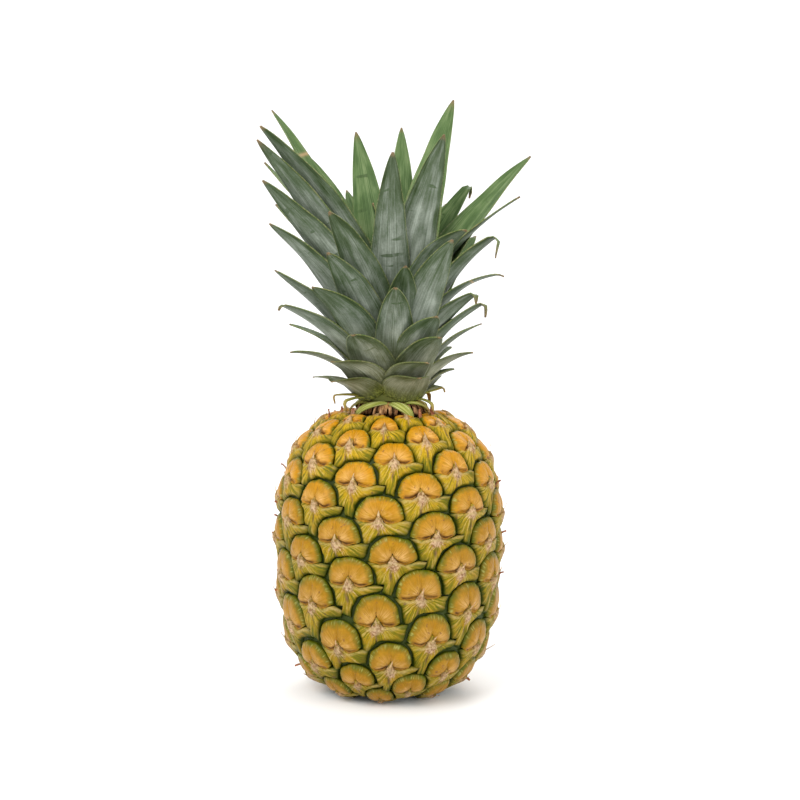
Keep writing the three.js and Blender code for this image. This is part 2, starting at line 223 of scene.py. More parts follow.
def new_material(name, roughness, shine=0.2):
    material = bpy.data.materials.new(name)
    material.use_nodes = True
    shader = material.node_tree.nodes["Principled BSDF"]
    shader.inputs["Roughness"].default_value = roughness
    shader.inputs["Specular IOR Level"].default_value = shine
    return material


def object_place(material):
    return value(material.node_tree, "ShaderNodeTexCoord", output="Object")


def paint(material, colour, bumps=None, strength=0.5, depth=0.0008):
    """Gives a material its colour and, where it has bumps, their relief."""
    tree = material.node_tree
    shader = tree.nodes["Principled BSDF"]
    tree.links.new(colour.socket, shader.inputs["Base Color"])
    if bumps is not None:
        relief = node(tree, "ShaderNodeBump", {"Height": bumps, "Strength": strength, "Distance": depth})
        tree.links.new(relief.outputs["Normal"], shader.inputs["Normal"])


def new_piece(name, points, faces, material, part, marks=None):
    """A piece that dresses one part of the solids, with the numbers that its points carry."""
    mesh = bpy.data.meshes.new(name)
    mesh.from_pydata([tuple(point) for point in points], [], [tuple(face) for face in faces])
    mesh.shade_smooth()
    mesh.materials.append(material)
    for label, numbers in (marks or {}).items():
        mesh.attributes.new(label, "FLOAT", "POINT").data.foreach_set("value", numbers)
    piece = bpy.data.objects.new(name, mesh)
    bpy.context.collection.objects.link(piece)
    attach(piece, "root")
    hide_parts(part)


def barrel_radius(height):
    reach = np.where(height < WIDEST_HEIGHT, LOWER_REACH, UPPER_REACH)
    power = np.where(height < WIDEST_HEIGHT, LOWER_POWER, UPPER_POWER)
    return BODY_RADIUS * (1 - (np.abs(height - WIDEST_HEIGHT) / reach) ** power) ** (1 / power)


heights = np.linspace(0, TOP_HEIGHT, OUTLINE_STEPS)
outline_points = np.column_stack([barrel_radius(heights), np.zeros(OUTLINE_STEPS), heights])
outline_mesh = bpy.data.meshes.new("barrel_outline")
outline_mesh.from_pydata(outline_points.tolist(), [(i, i + 1) for i in range(OUTLINE_STEPS - 1)], [])
barrel_outline = bpy.data.objects.new("barrel_outline", outline_mesh)
outline_steps = np.linalg.norm(np.diff(outline_points, axis=0), axis=1)
outline_ways = np.concatenate([[0], np.cumsum(outline_steps)])
outline_tangents = np.gradient(outline_points, outline_ways, axis=0)


def on_barrel(turn, way, lift):
    """Points at a turn from the front, a way up the outline and a height over the barrel."""
    radius = np.interp(way, outline_ways, outline_points[:, 0])
    height = np.interp(way, outline_ways, outline_points[:, 2])
    tangent_out = np.interp(way, outline_ways, outline_tangents[:, 0])
    tangent_up = np.interp(way, outline_ways, outline_tangents[:, 2])
    out = radius + lift * tangent_up
    return np.stack([out * np.sin(turn), -out * np.cos(turn), height - lift * tangent_out], axis=-1)


def bands(count, sides, first=0, inward=False):
    """The faces of bands between rings of points that follow one another."""
    faces = []
    for row in range(count):
        for side in range(sides):
            a = first + row * sides + side
            b = first + row * sides + (side + 1) % sides
            faces.append((a, a + sides, b + sides, b) if inward else (a, b, b + sides, a + sides))
    return faces


def fan(first, sides, middle):
    """The faces from a middle point out to the ring that begins at the first point."""
    return [(first + side, first + (side + 1) % sides, middle) for side in range(sides)]


def reversed_faces(faces):
    return [tuple(reversed(face)) for face in faces]


def lathe(profile, sides):
    """A closed body of revolution through (radius, height) points, from a middle below to one above."""
    turns = np.arange(sides) * 2 * math.pi / sides
    rings = [np.column_stack([radius * np.sin(turns), -radius * np.cos(turns), np.full(sides, height)])
             for radius, height in profile]
    centres = [[0, 0, profile[0][1]], [0, 0, profile[-1][1]]]
    points = np.concatenate(rings + [centres])
    walls = bands(len(profile) - 1, sides)
    bottom = reversed_faces(fan(0, sides, len(points) - 2))
    top = fan((len(profile) - 1) * sides, sides, len(points) - 1)
    return points, walls + bottom + top


neck_way = outline_ways[np.nonzero(outline_points[:, 0] > NECK_HOLE_RADIUS + NECK_GAP)[0][-1]]
ground_profile = [(STALK_HOLE_RADIUS, STALK_HOLE_TOP), (STALK_HOLE_RADIUS, REST_HEIGHT)]
for place in on_barrel(0.0, np.linspace(0, neck_way, GROUND_ROWS), -GROUND_DEPTH):
    radius, height = -place[1], place[2]
    if height > WIDEST_HEIGHT:
        height -= DIP_DEPTH * np.interp(radius, (DIP_INSIDE, DIP_OUTSIDE), (1, 0))
    ground_profile.append((radius, max(height, REST_HEIGHT)))
ground_profile += [(NECK_HOLE_RADIUS, ground_profile[-1][1]), (NECK_HOLE_RADIUS, NECK_SEAT - DIP_DEPTH)]
ground_points, ground_faces = lathe(ground_profile, GROUND_SIDES)

ground_skin = new_material("ground_skin", 0.6)
place = object_place(ground_skin)
right, back, height = split(place)
from_axis = maths("SQRT", right * right + back * back)
greens = ramp(noise(place, MOTTLE_SCALE), MOTTLE_GREENS)
paint(ground_skin, blend(rising(from_axis, BROWN_FROM, BROWN_TO), greens, NECK_BROWN))
new_piece("fruit_ground", ground_points, ground_faces, ground_skin, "fruit")

# Eyes: about 117 flattened fruitlets in one spiral up the barrel, each a waxy orange dome of three sepals
# over a cream and green bract with two wing tips and a skirt. They are grown together, edge to edge, and
# every second one sits a little aside and lower.
EYE_TURN = math.radians(137.662)
EYE_RISE = 0.001479
FRONT_EYE_TURN = math.radians(4.5)
FRONT_EYE_WAY = 0.1454
PAIR_TURN = math.radians(-1.67)
PAIR_RISE = -0.00072
LOWEST_EYE, HIGHEST_EYE = -89, 27
STRETCH_START, STRETCH_STEPS, MOST_STRETCH = 40, 34, 0.25
STEP_SHIFT = 500.0
WOBBLE_SCALE, ROUGH_SCALE = 150.0, 420.0
LATTICE_RADIUS = 0.060
NEAR_STEPS, NEAR_REACH = 60, 0.05
LOWEST_WAY = 0.0003
DOME_HALF_WIDTH, DOME_TALL, DOME_POWER = 0.0130, 0.0129, 2.4
DOME_EDGE, DOME_FOOT_GAP = 0.985, 0.0003
DOME_CENTRE = (0.0, 0.0066)
LOBE_SAG = 0.0014
SKIRT_GAP, SKIRT_OVERLAP, SKIRT_FOOT_GAP = 1.03, 0.0002, 0.0005
BRACT_CENTRE = (-0.0012, -0.0045)
NUB_TALL, NUB_HALF_WIDTH, NUB_FOOT, NUB_POWER = 0.0046, 0.0025, -0.003, 1.2
WING_REACH = 0.0180
WING_SLOPE = 0.45
SEAM_GAP = 0.0001
GROOVE_FLOOR = -0.0024
GROOVE_SPREAD, GROOVE_START = 0.12, 0.001
GROOVE_POWER, GROOVE_SHARE = 1.5, 0.85
SEAM_ROUNDING, ROUNDING_POWER = 0.0006, 8
PLATE_FOOT = -0.0034
PLATE_SIDES = 60
PLATE_RINGS = (0.1, 0.24, 0.37, 0.49, 0.6, 0.69, 0.76, 0.82, 0.88, 0.93, 0.97, 1.0)
PLATE_START, PLATE_REACH, PLATE_STEP = 0.0004, 0.024, 0.0001
# The relief of a dome: its pillow with two lobes, the crease between them, the slit and sill over its waist,
# and the pleats along its rim.
PILLOW_HEIGHT, PILLOW_POWER = 0.0034, 7
LOBE_HEIGHT, LOBE_ASIDE, LOBE_UP, LOBE_WIDE, LOBE_TALL = 0.0007, 0.0050, 0.0040, 0.0042, 0.0032
CREASE_DEPTH, CREASE_UP, CREASE_WIDE, CREASE_TALL = 0.0005, 0.0055, 0.0006, 0.0045
SLIT_DEPTH, SLIT_UP, SLIT_TALL, SLIT_END, SLIT_FADE = 0.0017, 0.0013, 0.0007, 0.0105, 0.004
SILL_DEPTH, SILL_TALL = 0.0008, 0.0010
PLEAT_HEIGHT, PLEAT_COUNT, PLEAT_MIDDLE, PLEAT_START, PLEAT_FADE = 0.00013, 34, 0.002, 0.72, 0.25
# The relief of a bract: a nub in the middle, ridges that fan out from it, a tear below it, and wings that
# fall away to the sides.
BRACT_HEIGHT, SKIRT_FALL, WING_FALL = 0.0009, 0.08, 0.0010
NUB_HEIGHT, NUB_WIDE, NUB_SPREAD = 0.0020, 0.0026, 0.0050
RIDGE_HEIGHT, RIDGE_COUNT, RIDGE_MIDDLE, RIDGE_START = 0.00012, 7, 0.001, 0.004
TEAR_DEPTH, TEAR_ASIDE, TEAR_DOWN, TEAR_WIDE, TEAR_TALL = 0.0009, 0.0006, 0.0072, 0.0006, 0.0026
TIP_ROOT, TIP_LENGTH = -0.0030, 0.0064
TIP_HALF_WIDTH, TIP_HAIR, TIP_THICKNESS = 0.0018, 0.00012, 0.0004
TIP_STATIONS, TIP_TAPER, TIP_GUTTER = 9, 0.8, 0.12
TIP_LIFT, TIP_RISE, TIP_WAVE, TIP_WAVES = 0.0016, 0.0014, 0.0004, 9
EYE_MARKS = ("across", "up", "lift", "eye_draw", "arch", "waist")


def hill(offset, spread):
    return np.exp(-(offset / spread) ** 2)


def arch_share(across, up):
    wide = (np.abs(across) / DOME_HALF_WIDTH) ** DOME_POWER
    tall = (np.maximum(up, 0) / DOME_TALL) ** DOME_POWER
    return (wide + tall) ** (1 / DOME_POWER)


def waist_height(across):
    share = np.minimum(np.abs(across) / DOME_HALF_WIDTH, 1)
    return -LOBE_SAG * np.sin(math.pi * share) ** 2


def on_nub(across, up):
    """Whether a place lies on the papery nub that runs up from the bract into the dome."""
    share = np.clip(1 - up / NUB_TALL, 0, 1)
    return (up > NUB_FOOT) & (np.abs(across) < NUB_HALF_WIDTH * share ** NUB_POWER)


def in_dome(across, up):
    over_waist = up > waist_height(across) + DOME_FOOT_GAP
    return (arch_share(across, up) < DOME_EDGE) & over_waist & ~on_nub(across, up)


def neighbours(side):
    """The eyes round one on an even (1) or odd (-1) step, as offsets across and up."""
    found = []
    for steps in range(-NEAR_STEPS, NEAR_STEPS + 1):
        parity = side if steps % 2 == 0 else -side
        turn = EYE_TURN * steps + PAIR_TURN * (parity - side)
        turn = (turn + math.pi) % (2 * math.pi) - math.pi
        across = LATTICE_RADIUS * turn
        up = EYE_RISE * steps + PAIR_RISE * (parity - side)
        if steps != 0 and math.hypot(across, up) < NEAR_REACH:
            found.append((across, up))
    return found


def skirt_test(side):
    """The test of whether a place belongs to the bract of an eye on an even (1) or odd (-1) step."""
    def in_skirt(across, up):
        depth = waist_height(across) - up
        inside = np.abs(across) < WING_REACH - WING_SLOPE * np.maximum(depth, 0)
        inside = (inside & (depth > -SKIRT_OVERLAP)) | on_nub(across, up)
        for other_across, other_up in neighbours(side):
            a, b = across - other_across, up - other_up
            other_depth = waist_height(a) - b
            wing = WING_REACH - WING_SLOPE * np.maximum(other_depth, 0)
            inside &= ~((arch_share(a, b) < SKIRT_GAP) & (other_depth < SKIRT_FOOT_GAP))
            inside &= ~((other_depth > -SEAM_GAP) & (other_depth < depth) & (np.abs(a) < wing + SEAM_GAP))
        return inside

    return in_skirt


def groove_share(across, up, side):
    """From 1 beside a neighbour's arch down to 0 away from it, for a place on a bract."""
    share = np.zeros(np.shape(across))
    for other_across, other_up in neighbours(side):
        a, b = across - other_across, up - other_up
        beside = hill(arch_share(a, b) - 1, GROOVE_SPREAD) * (b > waist_height(a) - GROOVE_START)
        share = np.maximum(share, beside)
    return share


def dome_lift(across, up, share):
    arch = np.minimum(arch_share(across, up), 1)
    pillow = PILLOW_HEIGHT * np.sqrt(1 - arch ** PILLOW_POWER)
    lobes = LOBE_HEIGHT * hill(np.abs(across) - LOBE_ASIDE, LOBE_WIDE) * hill(up - LOBE_UP, LOBE_TALL)
    crease = CREASE_DEPTH * hill(across, CREASE_WIDE) * hill(up - CREASE_UP, CREASE_TALL)
    over_waist = up - waist_height(across)
    open_part = np.clip((SLIT_END - np.abs(across)) / SLIT_FADE, 0, 1)
    slit = SLIT_DEPTH * hill(over_waist - SLIT_UP, SLIT_TALL) * open_part
    sill = SILL_DEPTH * hill(over_waist, SILL_TALL)
    rim = np.clip((arch - PLEAT_START) / PLEAT_FADE, 0, 1)
    pleats = PLEAT_HEIGHT * np.sin(np.arctan2(up - PLEAT_MIDDLE, across) * PLEAT_COUNT) * rim
    return GROOVE_FLOOR + pillow + lobes - crease - slit - sill + pleats


def bract_lift(side):
    """The height of a bract whose eye is on an even (1) or odd (-1) step."""
    def lift(across, up, share):
        depth = np.maximum(waist_height(across) - up, 0)
        nub = NUB_HEIGHT * hill(across, NUB_WIDE) * hill(up, NUB_SPREAD)
        spoke = np.arctan2(across, RIDGE_MIDDLE - up)
        ridges = RIDGE_HEIGHT * np.cos(spoke * RIDGE_COUNT) * np.minimum(depth / RIDGE_START, 1)
        tear = TEAR_DEPTH * hill(across + TEAR_ASIDE, TEAR_WIDE) * hill(up + TEAR_DOWN, TEAR_TALL)
        fall = SKIRT_FALL * depth + WING_FALL * (across / WING_REACH) ** 2
        crest = BRACT_HEIGHT + nub + ridges - tear - fall
        groove = GROOVE_SHARE * groove_share(across, up, side) ** GROOVE_POWER
        return crest + (GROOVE_FLOOR - crest) * groove - SEAM_ROUNDING * share ** ROUNDING_POWER

    return lift


def flat_piece(name, points, faces):
    """A template in the flat frame of one eye that carries how far each point is from arch and waist."""
    mesh = bpy.data.meshes.new(name)
    mesh.from_pydata(points.tolist(), [], faces)
    mesh.shade_smooth()
    across, up = points[:, 0], points[:, 1]
    for label, numbers in (("arch", arch_share(across, up)), ("waist", up - waist_height(across))):
        mesh.attributes.new(label, "FLOAT", "POINT").data.foreach_set("value", numbers)
    return bpy.data.objects.new(name, mesh)


def plate(name, centre, inside, lift):
    """A closed plate: rings from a middle out to where the test ends, a wall down from its rim, a bottom."""
    angles = np.arange(PLATE_SIDES) * 2 * math.pi / PLATE_SIDES
    reach = np.arange(PLATE_START, PLATE_REACH, PLATE_STEP)
    grid_across = centre[0] + reach[:, None] * np.cos(angles)
    grid_up = centre[1] + reach[:, None] * np.sin(angles)
    within = np.logical_and.accumulate(inside(grid_across, grid_up), axis=0)
    rim = PLATE_START + PLATE_STEP * (within.sum(axis=0) - 1)
    rows = [np.array([[centre[0], centre[1], lift(*map(np.array, centre), 0.0)]])]
    for share in PLATE_RINGS:
        across = centre[0] + share * rim * np.cos(angles)
        up = centre[1] + share * rim * np.sin(angles)
        rows.append(np.column_stack([across, up, lift(across, up, np.full(PLATE_SIDES, share))]))
    foot = rows[-1].copy()
    foot[:, 2] = PLATE_FOOT
    rows += [foot, np.array([[centre[0], centre[1], PLATE_FOOT]])]
    points = np.concatenate(rows)
    top = fan(1, PLATE_SIDES, 0)
    walls = bands(len(PLATE_RINGS), PLATE_SIDES, first=1, inward=True)
    bottom = reversed_faces(fan(1 + len(PLATE_RINGS) * PLATE_SIDES, PLATE_SIDES, len(points) - 1))
    return flat_piece(name, points, top + walls + bottom)


def tube(rings, sides, inward=False):
    """The faces of a closed tube: its bands and a face over each end."""
    foot, head = tuple(range(sides)), tuple(range((rings - 1) * sides, rings * sides))
    ends = [foot, head[::-1]] if inward else [foot[::-1], head]
    return ends + bands(rings - 1, sides, inward=inward)


def papery_tip():
    """The dried point of a bract: a thin strip that stands out over the dome and narrows to a hair."""
    steps = np.linspace(0, 1, TIP_STATIONS)
    half = TIP_HALF_WIDTH * (1 - steps) ** TIP_TAPER + TIP_HAIR
    up = TIP_ROOT + TIP_LENGTH * steps
    lift = TIP_LIFT + TIP_RISE * steps + TIP_WAVE * np.sin(TIP_WAVES * steps)
    rows = []
    for side, high in ((-1, -1), (0, 0.4), (1, -1), (0, -1)):
        over = high * TIP_THICKNESS / 2 - TIP_GUTTER * abs(side) * half
        rows.append(np.column_stack([side * half, up, lift + over]))
    return flat_piece("papery_tip", np.stack(rows, axis=1).reshape(-1, 3), tube(TIP_STATIONS, len(rows)))


def store(geometry, label, number):
    inputs = {"Geometry": geometry, "Name": label, "Value": number}
    return value(tree_of(geometry), "GeometryNodeStoreNamedAttribute", inputs, data_type="FLOAT")


def eye_tree(name, material):
    """Sets copies of a flat template on the eyes' spiral and wraps each round the barrel."""
    tree = bpy.data.node_groups.new(name, "GeometryNodeTree")
    ports = (
        ("Template", "NodeSocketObject", None), ("Outline", "NodeSocketObject", None),
        ("Count", "NodeSocketInt", 1), ("First Step", "NodeSocketInt", 0), ("Side", "NodeSocketFloat", 1.0),
        ("Wander", "NodeSocketFloat", 0.0034), ("Swell", "NodeSocketFloat", 0.06),
        ("Roughness", "NodeSocketFloat", 0.0003), ("Seed", "NodeSocketInt", 7),
        ("Length Spread", "NodeSocketFloat", 0.0), ("Bend", "NodeSocketFloat", 0.0),
        ("Lean", "NodeSocketFloat", 0.0),
    )
    for label, kind, setting in ports:
        port = tree.interface.new_socket(label, in_out="INPUT", socket_type=kind)
        if setting is not None:
            port.default_value = setting
    tree.interface.new_socket("Geometry", in_out="OUTPUT", socket_type="NodeSocketGeometry")
    entry = tree.nodes.new("NodeGroupInput")
    given = {label: Value(entry.outputs[label]) for label, kind, setting in ports}
    spots = value(tree, "GeometryNodePoints", {"Count": given["Count"]})
    spots = store(spots, "eye_step", value(tree, "GeometryNodeInputIndex") * 2.0 + given["First Step"])
    shape = value(tree, "GeometryNodeObjectInfo", {"Object": given["Template"]}, "Geometry")
    copies = value(tree, "GeometryNodeInstanceOnPoints", {"Points": spots, "Instance": shape})
    result = value(tree, "GeometryNodeRealizeInstances", {"Geometry": copies})
    step = value(tree, "GeometryNodeInputNamedAttribute", {"Name": "eye_step"}, data_type="FLOAT")
    local = value(tree, "GeometryNodeInputPosition")
    flat_across, flat_up, flat_lift = split(local)

    def draw(low, high, order):
        inputs = {2: low, 3: high, "ID": step + STEP_SHIFT, "Seed": given["Seed"] + order}
        return value(tree, "FunctionNodeRandomValue", inputs, 1, data_type="FLOAT")

    def wobble(scale, detail, output):
        inputs = {"Vector": local, "W": step, "Scale": scale, "Detail": detail}
        return value(tree, "ShaderNodeTexNoise", inputs, output, noise_dimensions="4D")

    wobble_across, wobble_up, _ = split(wobble(WOBBLE_SCALE, 2.0, "Color"))
    across = flat_across * (given["Swell"] * draw(-0.5, 0.3, 1.0) + 1.0)
    across = across + given["Wander"] * (wobble_across - 0.5)
    up = flat_up + given["Wander"] * (wobble_up - 0.5)
    up = maths("MAXIMUM", up, 0.0) * (given["Length Spread"] * draw(-0.5, 1.0, 4.0)) + up
    standing = maths("MAXIMUM", up, 0.0) ** 2.0
    across = standing * (given["Bend"] * draw(-1.0, 1.0, 5.0)) + across
    bumps = given["Roughness"] * (wobble(ROUGH_SCALE, 4.0, "Fac") - 0.5)
    above_foot = maths("GREATER_THAN", flat_lift, GROOVE_FLOOR)
    lift = flat_lift + above_foot * (bumps + draw(-0.0004, 0.0003, 2.0))
    lift = standing * (given["Lean"] * draw(-0.2, 1.0, 6.0)) + lift

    turn = step * EYE_TURN + FRONT_EYE_TURN + given["Side"] * PAIR_TURN + across / LATTICE_RADIUS
    arc = rising(step, -STRETCH_START, -STRETCH_START - STRETCH_STEPS, math.pi)
    lower = (1.0 - maths("COSINE", arc)) * (-MOST_STRETCH * EYE_RISE * STRETCH_STEPS / math.pi)
    way = step * EYE_RISE + FRONT_EYE_WAY + given["Side"] * PAIR_RISE + lower
    way = up * (maths("SINE", arc) * MOST_STRETCH + 1.0) + way
    way = maths("MINIMUM", maths("MAXIMUM", way, LOWEST_WAY), neck_way)
    edge = value(tree, "GeometryNodeObjectInfo", {"Object": given["Outline"]}, "Geometry")
    curve = value(tree, "GeometryNodeMeshToCurve", {"Mesh": edge})
    sampled = node(tree, "GeometryNodeSampleCurve", {"Curves": curve, "Length": way}, mode="LENGTH")
    radius, _, height = split(Value(sampled.outputs["Position"]))
    tangent_out, _, tangent_up = split(Value(sampled.outputs["Tangent"]))
    lift = lift * maths("SQRT", maths("MINIMUM", radius / LATTICE_RADIUS, 1.0))
    out = lift * tangent_up + radius
    dip = rising(radius, DIP_OUTSIDE, DIP_INSIDE, DIP_DEPTH)
    high = height - lift * tangent_out - dip * maths("GREATER_THAN", height, WIDEST_HEIGHT)
    placed = value(tree, "ShaderNodeCombineXYZ", {
        0: out * maths("SINE", turn), 1: out * -1.0 * maths("COSINE", turn), 2: maths("MAXIMUM", high, 0.0)})
    marks = (("across", flat_across), ("up", flat_up), ("lift", flat_lift), ("eye_draw", draw(0.0, 1.0, 3.0)))
    for label, number in marks:
        result = store(result, label, number)
    result = value(tree, "GeometryNodeSetPosition", {"Geometry": result, "Position": placed})
    result = value(tree, "GeometryNodeSetMaterial", {"Geometry": result, "Material": material})
    tree.links.new(result.socket, tree.nodes.new("NodeGroupOutput").inputs[0])
    return tree


def read(collection, field, width=1):
    numbers = np.empty(len(collection) * width)
    collection.foreach_get(field, numbers)
    return numbers


def grow_eyes(name, templates, material, **inputs):
    """One piece of all the eyes' copies of a template pair: even steps first, then odd ones."""
    tree = eye_tree(name, material)
    sockets = {item.name: item.identifier for item in tree.interface.items_tree if item.in_out == "INPUT"}
    points, faces = np.empty((0, 3)), []
    marks = {label: np.empty(0) for label in EYE_MARKS}
    for template, side in zip(templates, (1, -1)):
        first = LOWEST_EYE if (LOWEST_EYE % 2 == 0) == (side == 1) else LOWEST_EYE + 1
        count = (HIGHEST_EYE - first) // 2 + 1
        carrier = bpy.data.objects.new(name, bpy.data.meshes.new(name))
        bpy.context.collection.objects.link(carrier)
        modifier = carrier.modifiers.new("eyes", "NODES")
        modifier.node_group = tree
        settings = dict(template=template, outline=barrel_outline, count=count, first_step=first)
        for label, setting in (settings | {"side": float(side)} | inputs).items():
            modifier[sockets[label.replace("_", " ").title()]] = setting
        bpy.context.view_layer.update()
        evaluated = carrier.evaluated_get(bpy.context.evaluated_depsgraph_get())
        mesh = bpy.data.meshes.new_from_object(evaluated)
        bpy.data.objects.remove(carrier)
        faces += [tuple(len(points) + corner for corner in polygon.vertices) for polygon in mesh.polygons]
        points = np.concatenate([points, read(mesh.vertices, "co", 3).reshape(-1, 3)])
        for label in EYE_MARKS:
            marks[label] = np.concatenate([marks[label], read(mesh.attributes[label].data, "value")])
        bpy.data.meshes.remove(mesh)
    new_piece(name, points, faces, material, "fruit", marks)


def attributes(material, *names):
    tree = material.node_tree
    return [value(tree, "ShaderNodeAttribute", output="Fac", attribute_name=name) for name in names]


def bell(given, middle, spread):
    """One at a middle value, falling to nothing a few spreads away."""
    offset = (given - middle) / spread
    return maths("EXPONENT", offset * offset * -1.0)


def ripeness(height):
    """From 0 on the lower half of the fruit up to 1 on its shoulder, where the skin is the most golden."""
    return rising(height, 0.075, 0.150) ** 1.5


# The dark green painted into the grooves between the eyes: the green of the skin there, darkened as painted
# shade, and lighter and yellower towards the shoulder.
def shaded_groove_green(height):
    return blend(rising(height, 0.115, 0.150), SHADED_WALL_GREEN, SHOULDER_WALL)


def spokes(angle, along, eye_draw):
    """A place for a noise that runs out from the middle of an eye like spokes and differs from eye to eye."""
    return value(tree_of(angle), "ShaderNodeCombineXYZ", {0: angle, 1: along, 2: eye_draw * 30.0})


CLOUD_SCALE = 190.0
# The dark green of the groove walls is green skin darkened as painted shade.
SHADED_WALL_GREEN = (0.022, 0.036, 0.001)
SHOULDER_WALL = (0.15, 0.12, 0.002)
LEAF_GREEN = (0.078, 0.092, 0.002)

GOLD, RIPE_GOLD, DULL_GOLD = (0.29, 0.136, 0.001), (0.62, 0.26, 0.001), (0.36, 0.17, 0.001)
FOLD_BROWN = (0.21, 0.115, 0.001)
PATCH, RIPE_PATCH = (0.38, 0.20, 0.006), (0.60, 0.30, 0.012)
CREAM, RIPE_CREAM = (0.56, 0.33, 0.11), (0.74, 0.42, 0.13)
FRECKLE_BROWN = (0.12, 0.045, 0.02)
TOOTH_GREEN = (0.38, 0.38, 0.10)
# The slit colours are painted shade: brown, and darker still along the waist.
SLIT_SHADE_BROWN, SLIT_SHADE_DARK = (0.20, 0.070, 0.004), (0.05, 0.018, 0.002)
dome_skin = new_material("dome_skin", 0.38, 0.16)
place = object_place(dome_skin)
across, up, lift, eye_draw, arch, waist = attributes(dome_skin, *EYE_MARKS)
height = split(place)[2]
aside = maths("ABSOLUTE", across)
clouds = noise(place, CLOUD_SCALE)
ripe = ripeness(height)
wrinkles = noise(spokes(maths("ARCTAN2", up - 0.001, across) * 14.0, arch * 2.0, eye_draw), 1.0)
golden = blend(ripe, GOLD, RIPE_GOLD)
golden = blend(eye_draw * 0.35, golden, DULL_GOLD)
golden = blend(rising(wrinkles, 0.40, 0.68) * 0.55, golden, FOLD_BROWN)
patches = rising(noise(place, 330.0, 4.0), 0.5, 0.68)
golden = blend(patches * 0.5, golden, blend(ripe, PATCH, RIPE_PATCH))
# The lobes beside the nub turn cream: the eye's own cream tone, with a painted highlight on the bulges of the
# lobes.
lobe_cream_highlight = bell(aside, 0.0040, 0.0042) * bell(up, 0.0026, 0.0038) * rising(clouds, 0.3, 0.6)
colour = blend(lobe_cream_highlight * rising(wrinkles, 0.72, 0.40) * 0.9, golden, blend(ripe, CREAM, RIPE_CREAM))
colour = blend(rising(noise(place, 420.0, 2.0), 0.65, 0.72) * 0.6, colour, FRECKLE_BROWN)
ring = (clouds - 0.5) * 0.4 + arch
colour = blend(rising(ring, ripe * 0.14 + 0.73, 1.0), colour, LEAF_GREEN)
colour = blend(rising(wrinkles, 0.52, 0.66) * bell(arch, 0.91, 0.055) * 0.6, colour, TOOTH_GREEN)
# Painted shade in the slits under the two lobes, brown and darkest along the waist, broken up by a noise.
beside_nub = rising(aside, 0.0012, 0.0026) * rising(aside, 0.0108, 0.0088)
slit_shade_mask = beside_nub * rising(clouds, 0.36, 0.58)
colour = blend(slit_shade_mask * bell(waist, 0.0016, 0.0010) * 0.75, colour, SLIT_SHADE_BROWN)
colour = blend(slit_shade_mask * bell(waist, 0.0013, 0.0005) * 0.85, colour, SLIT_SHADE_DARK)
# Painted shade: the dome turns dark green as it sinks into the groove round it.
wall = blend(rising(clouds, 0.45, 0.65), shaded_groove_green(height), LEAF_GREEN)
colour = blend(rising(lift, -0.0012, -0.0022), colour, wall)
bumps = noise(place, 900.0) * 0.6 + wrinkles * 0.55 + clouds
paint(dome_skin, colour, bumps, depth=0.0007)

FLESH, RIPE_FLESH = (0.30, 0.205, 0.004), (0.54, 0.33, 0.004)
STREAK_GREEN, STREAK_CREAM = (0.095, 0.098, 0.003), (0.46, 0.34, 0.13)
WARM, RIPE_WARM = (0.35, 0.19, 0.006), (0.56, 0.32, 0.010)
NUB_PAPERS = ((0.36, (0.20, 0.085, 0.055)), (0.58, (0.56, 0.38, 0.25)))
LIP_CREAM, TEAR_BROWN = (0.42, 0.32, 0.13), (0.13, 0.07, 0.055)
SCAB_BROWN, SPECK_BROWN = (0.11, 0.05, 0.03), (0.13, 0.085, 0.010)
bract_skin = new_material("bract_skin", 0.5, 0.1)
place = object_place(bract_skin)
across, up, lift, eye_draw, arch, waist = attributes(bract_skin, *EYE_MARKS)
height = split(place)[2]
aside = maths("ABSOLUTE", across)
clouds = noise(place, CLOUD_SCALE)
ripe = ripeness(height)
streaks = noise(spokes(maths("ARCTAN2", across, 0.0015 - up) * 12.0, waist * 110.0, eye_draw), 1.0, 4.0)
colour = blend(rising(streaks, 0.53, 0.36), blend(ripe, FLESH, RIPE_FLESH), STREAK_GREEN)
colour = blend(rising(streaks, 0.53, 0.66) * 0.55, colour, STREAK_CREAM)
colour = blend(rising(clouds, 0.5, 0.64) * 0.6, colour, blend(ripe, WARM, RIPE_WARM))
colour = blend(rising(aside, 0.004, 0.012) * rising(streaks, 0.7, 0.35) * 0.7, colour, LEAF_GREEN)
colour = blend(rising(waist, -0.0070, -0.0150) * rising(streaks, 0.62, 0.40) * 0.8, colour, LEAF_GREEN)
papery = bell(across, 0.0, 0.0050) * bell(up, -0.0010, 0.0052)
ragged = streaks * 1.5 + (clouds * 0.5 + papery)
colour = blend(rising(ragged, 1.50, 1.90) * 0.85, colour, ramp(noise(place, 700.0), NUB_PAPERS))
colour = blend(bell(waist, -0.0006, 0.0007) * rising(clouds, 0.35, 0.6) * 0.6, colour, LIP_CREAM)
tears = bell(eye_draw * 0.0016 + across, 0.0002, 0.0007) * bell(up, -0.0072, 0.0026)
colour = blend(tears * rising(streaks, 0.35, 0.5) * 0.85, colour, TEAR_BROWN)
scabs = rising(noise(place, 300.0, 2.0), 0.66, 0.72) * bell(up, -0.004, 0.004)
colour = blend(scabs * 0.7, colour, SCAB_BROWN)
colour = blend(rising(noise(place, 900.0), 0.50, 0.66) * 0.4, colour, SPECK_BROWN)
# Painted shade: the bract turns dark green as it falls away into the grooves.
colour = blend(rising(lift, 0.0003, -0.0016), colour, shaded_groove_green(height))
paint(bract_skin, colour, streaks)

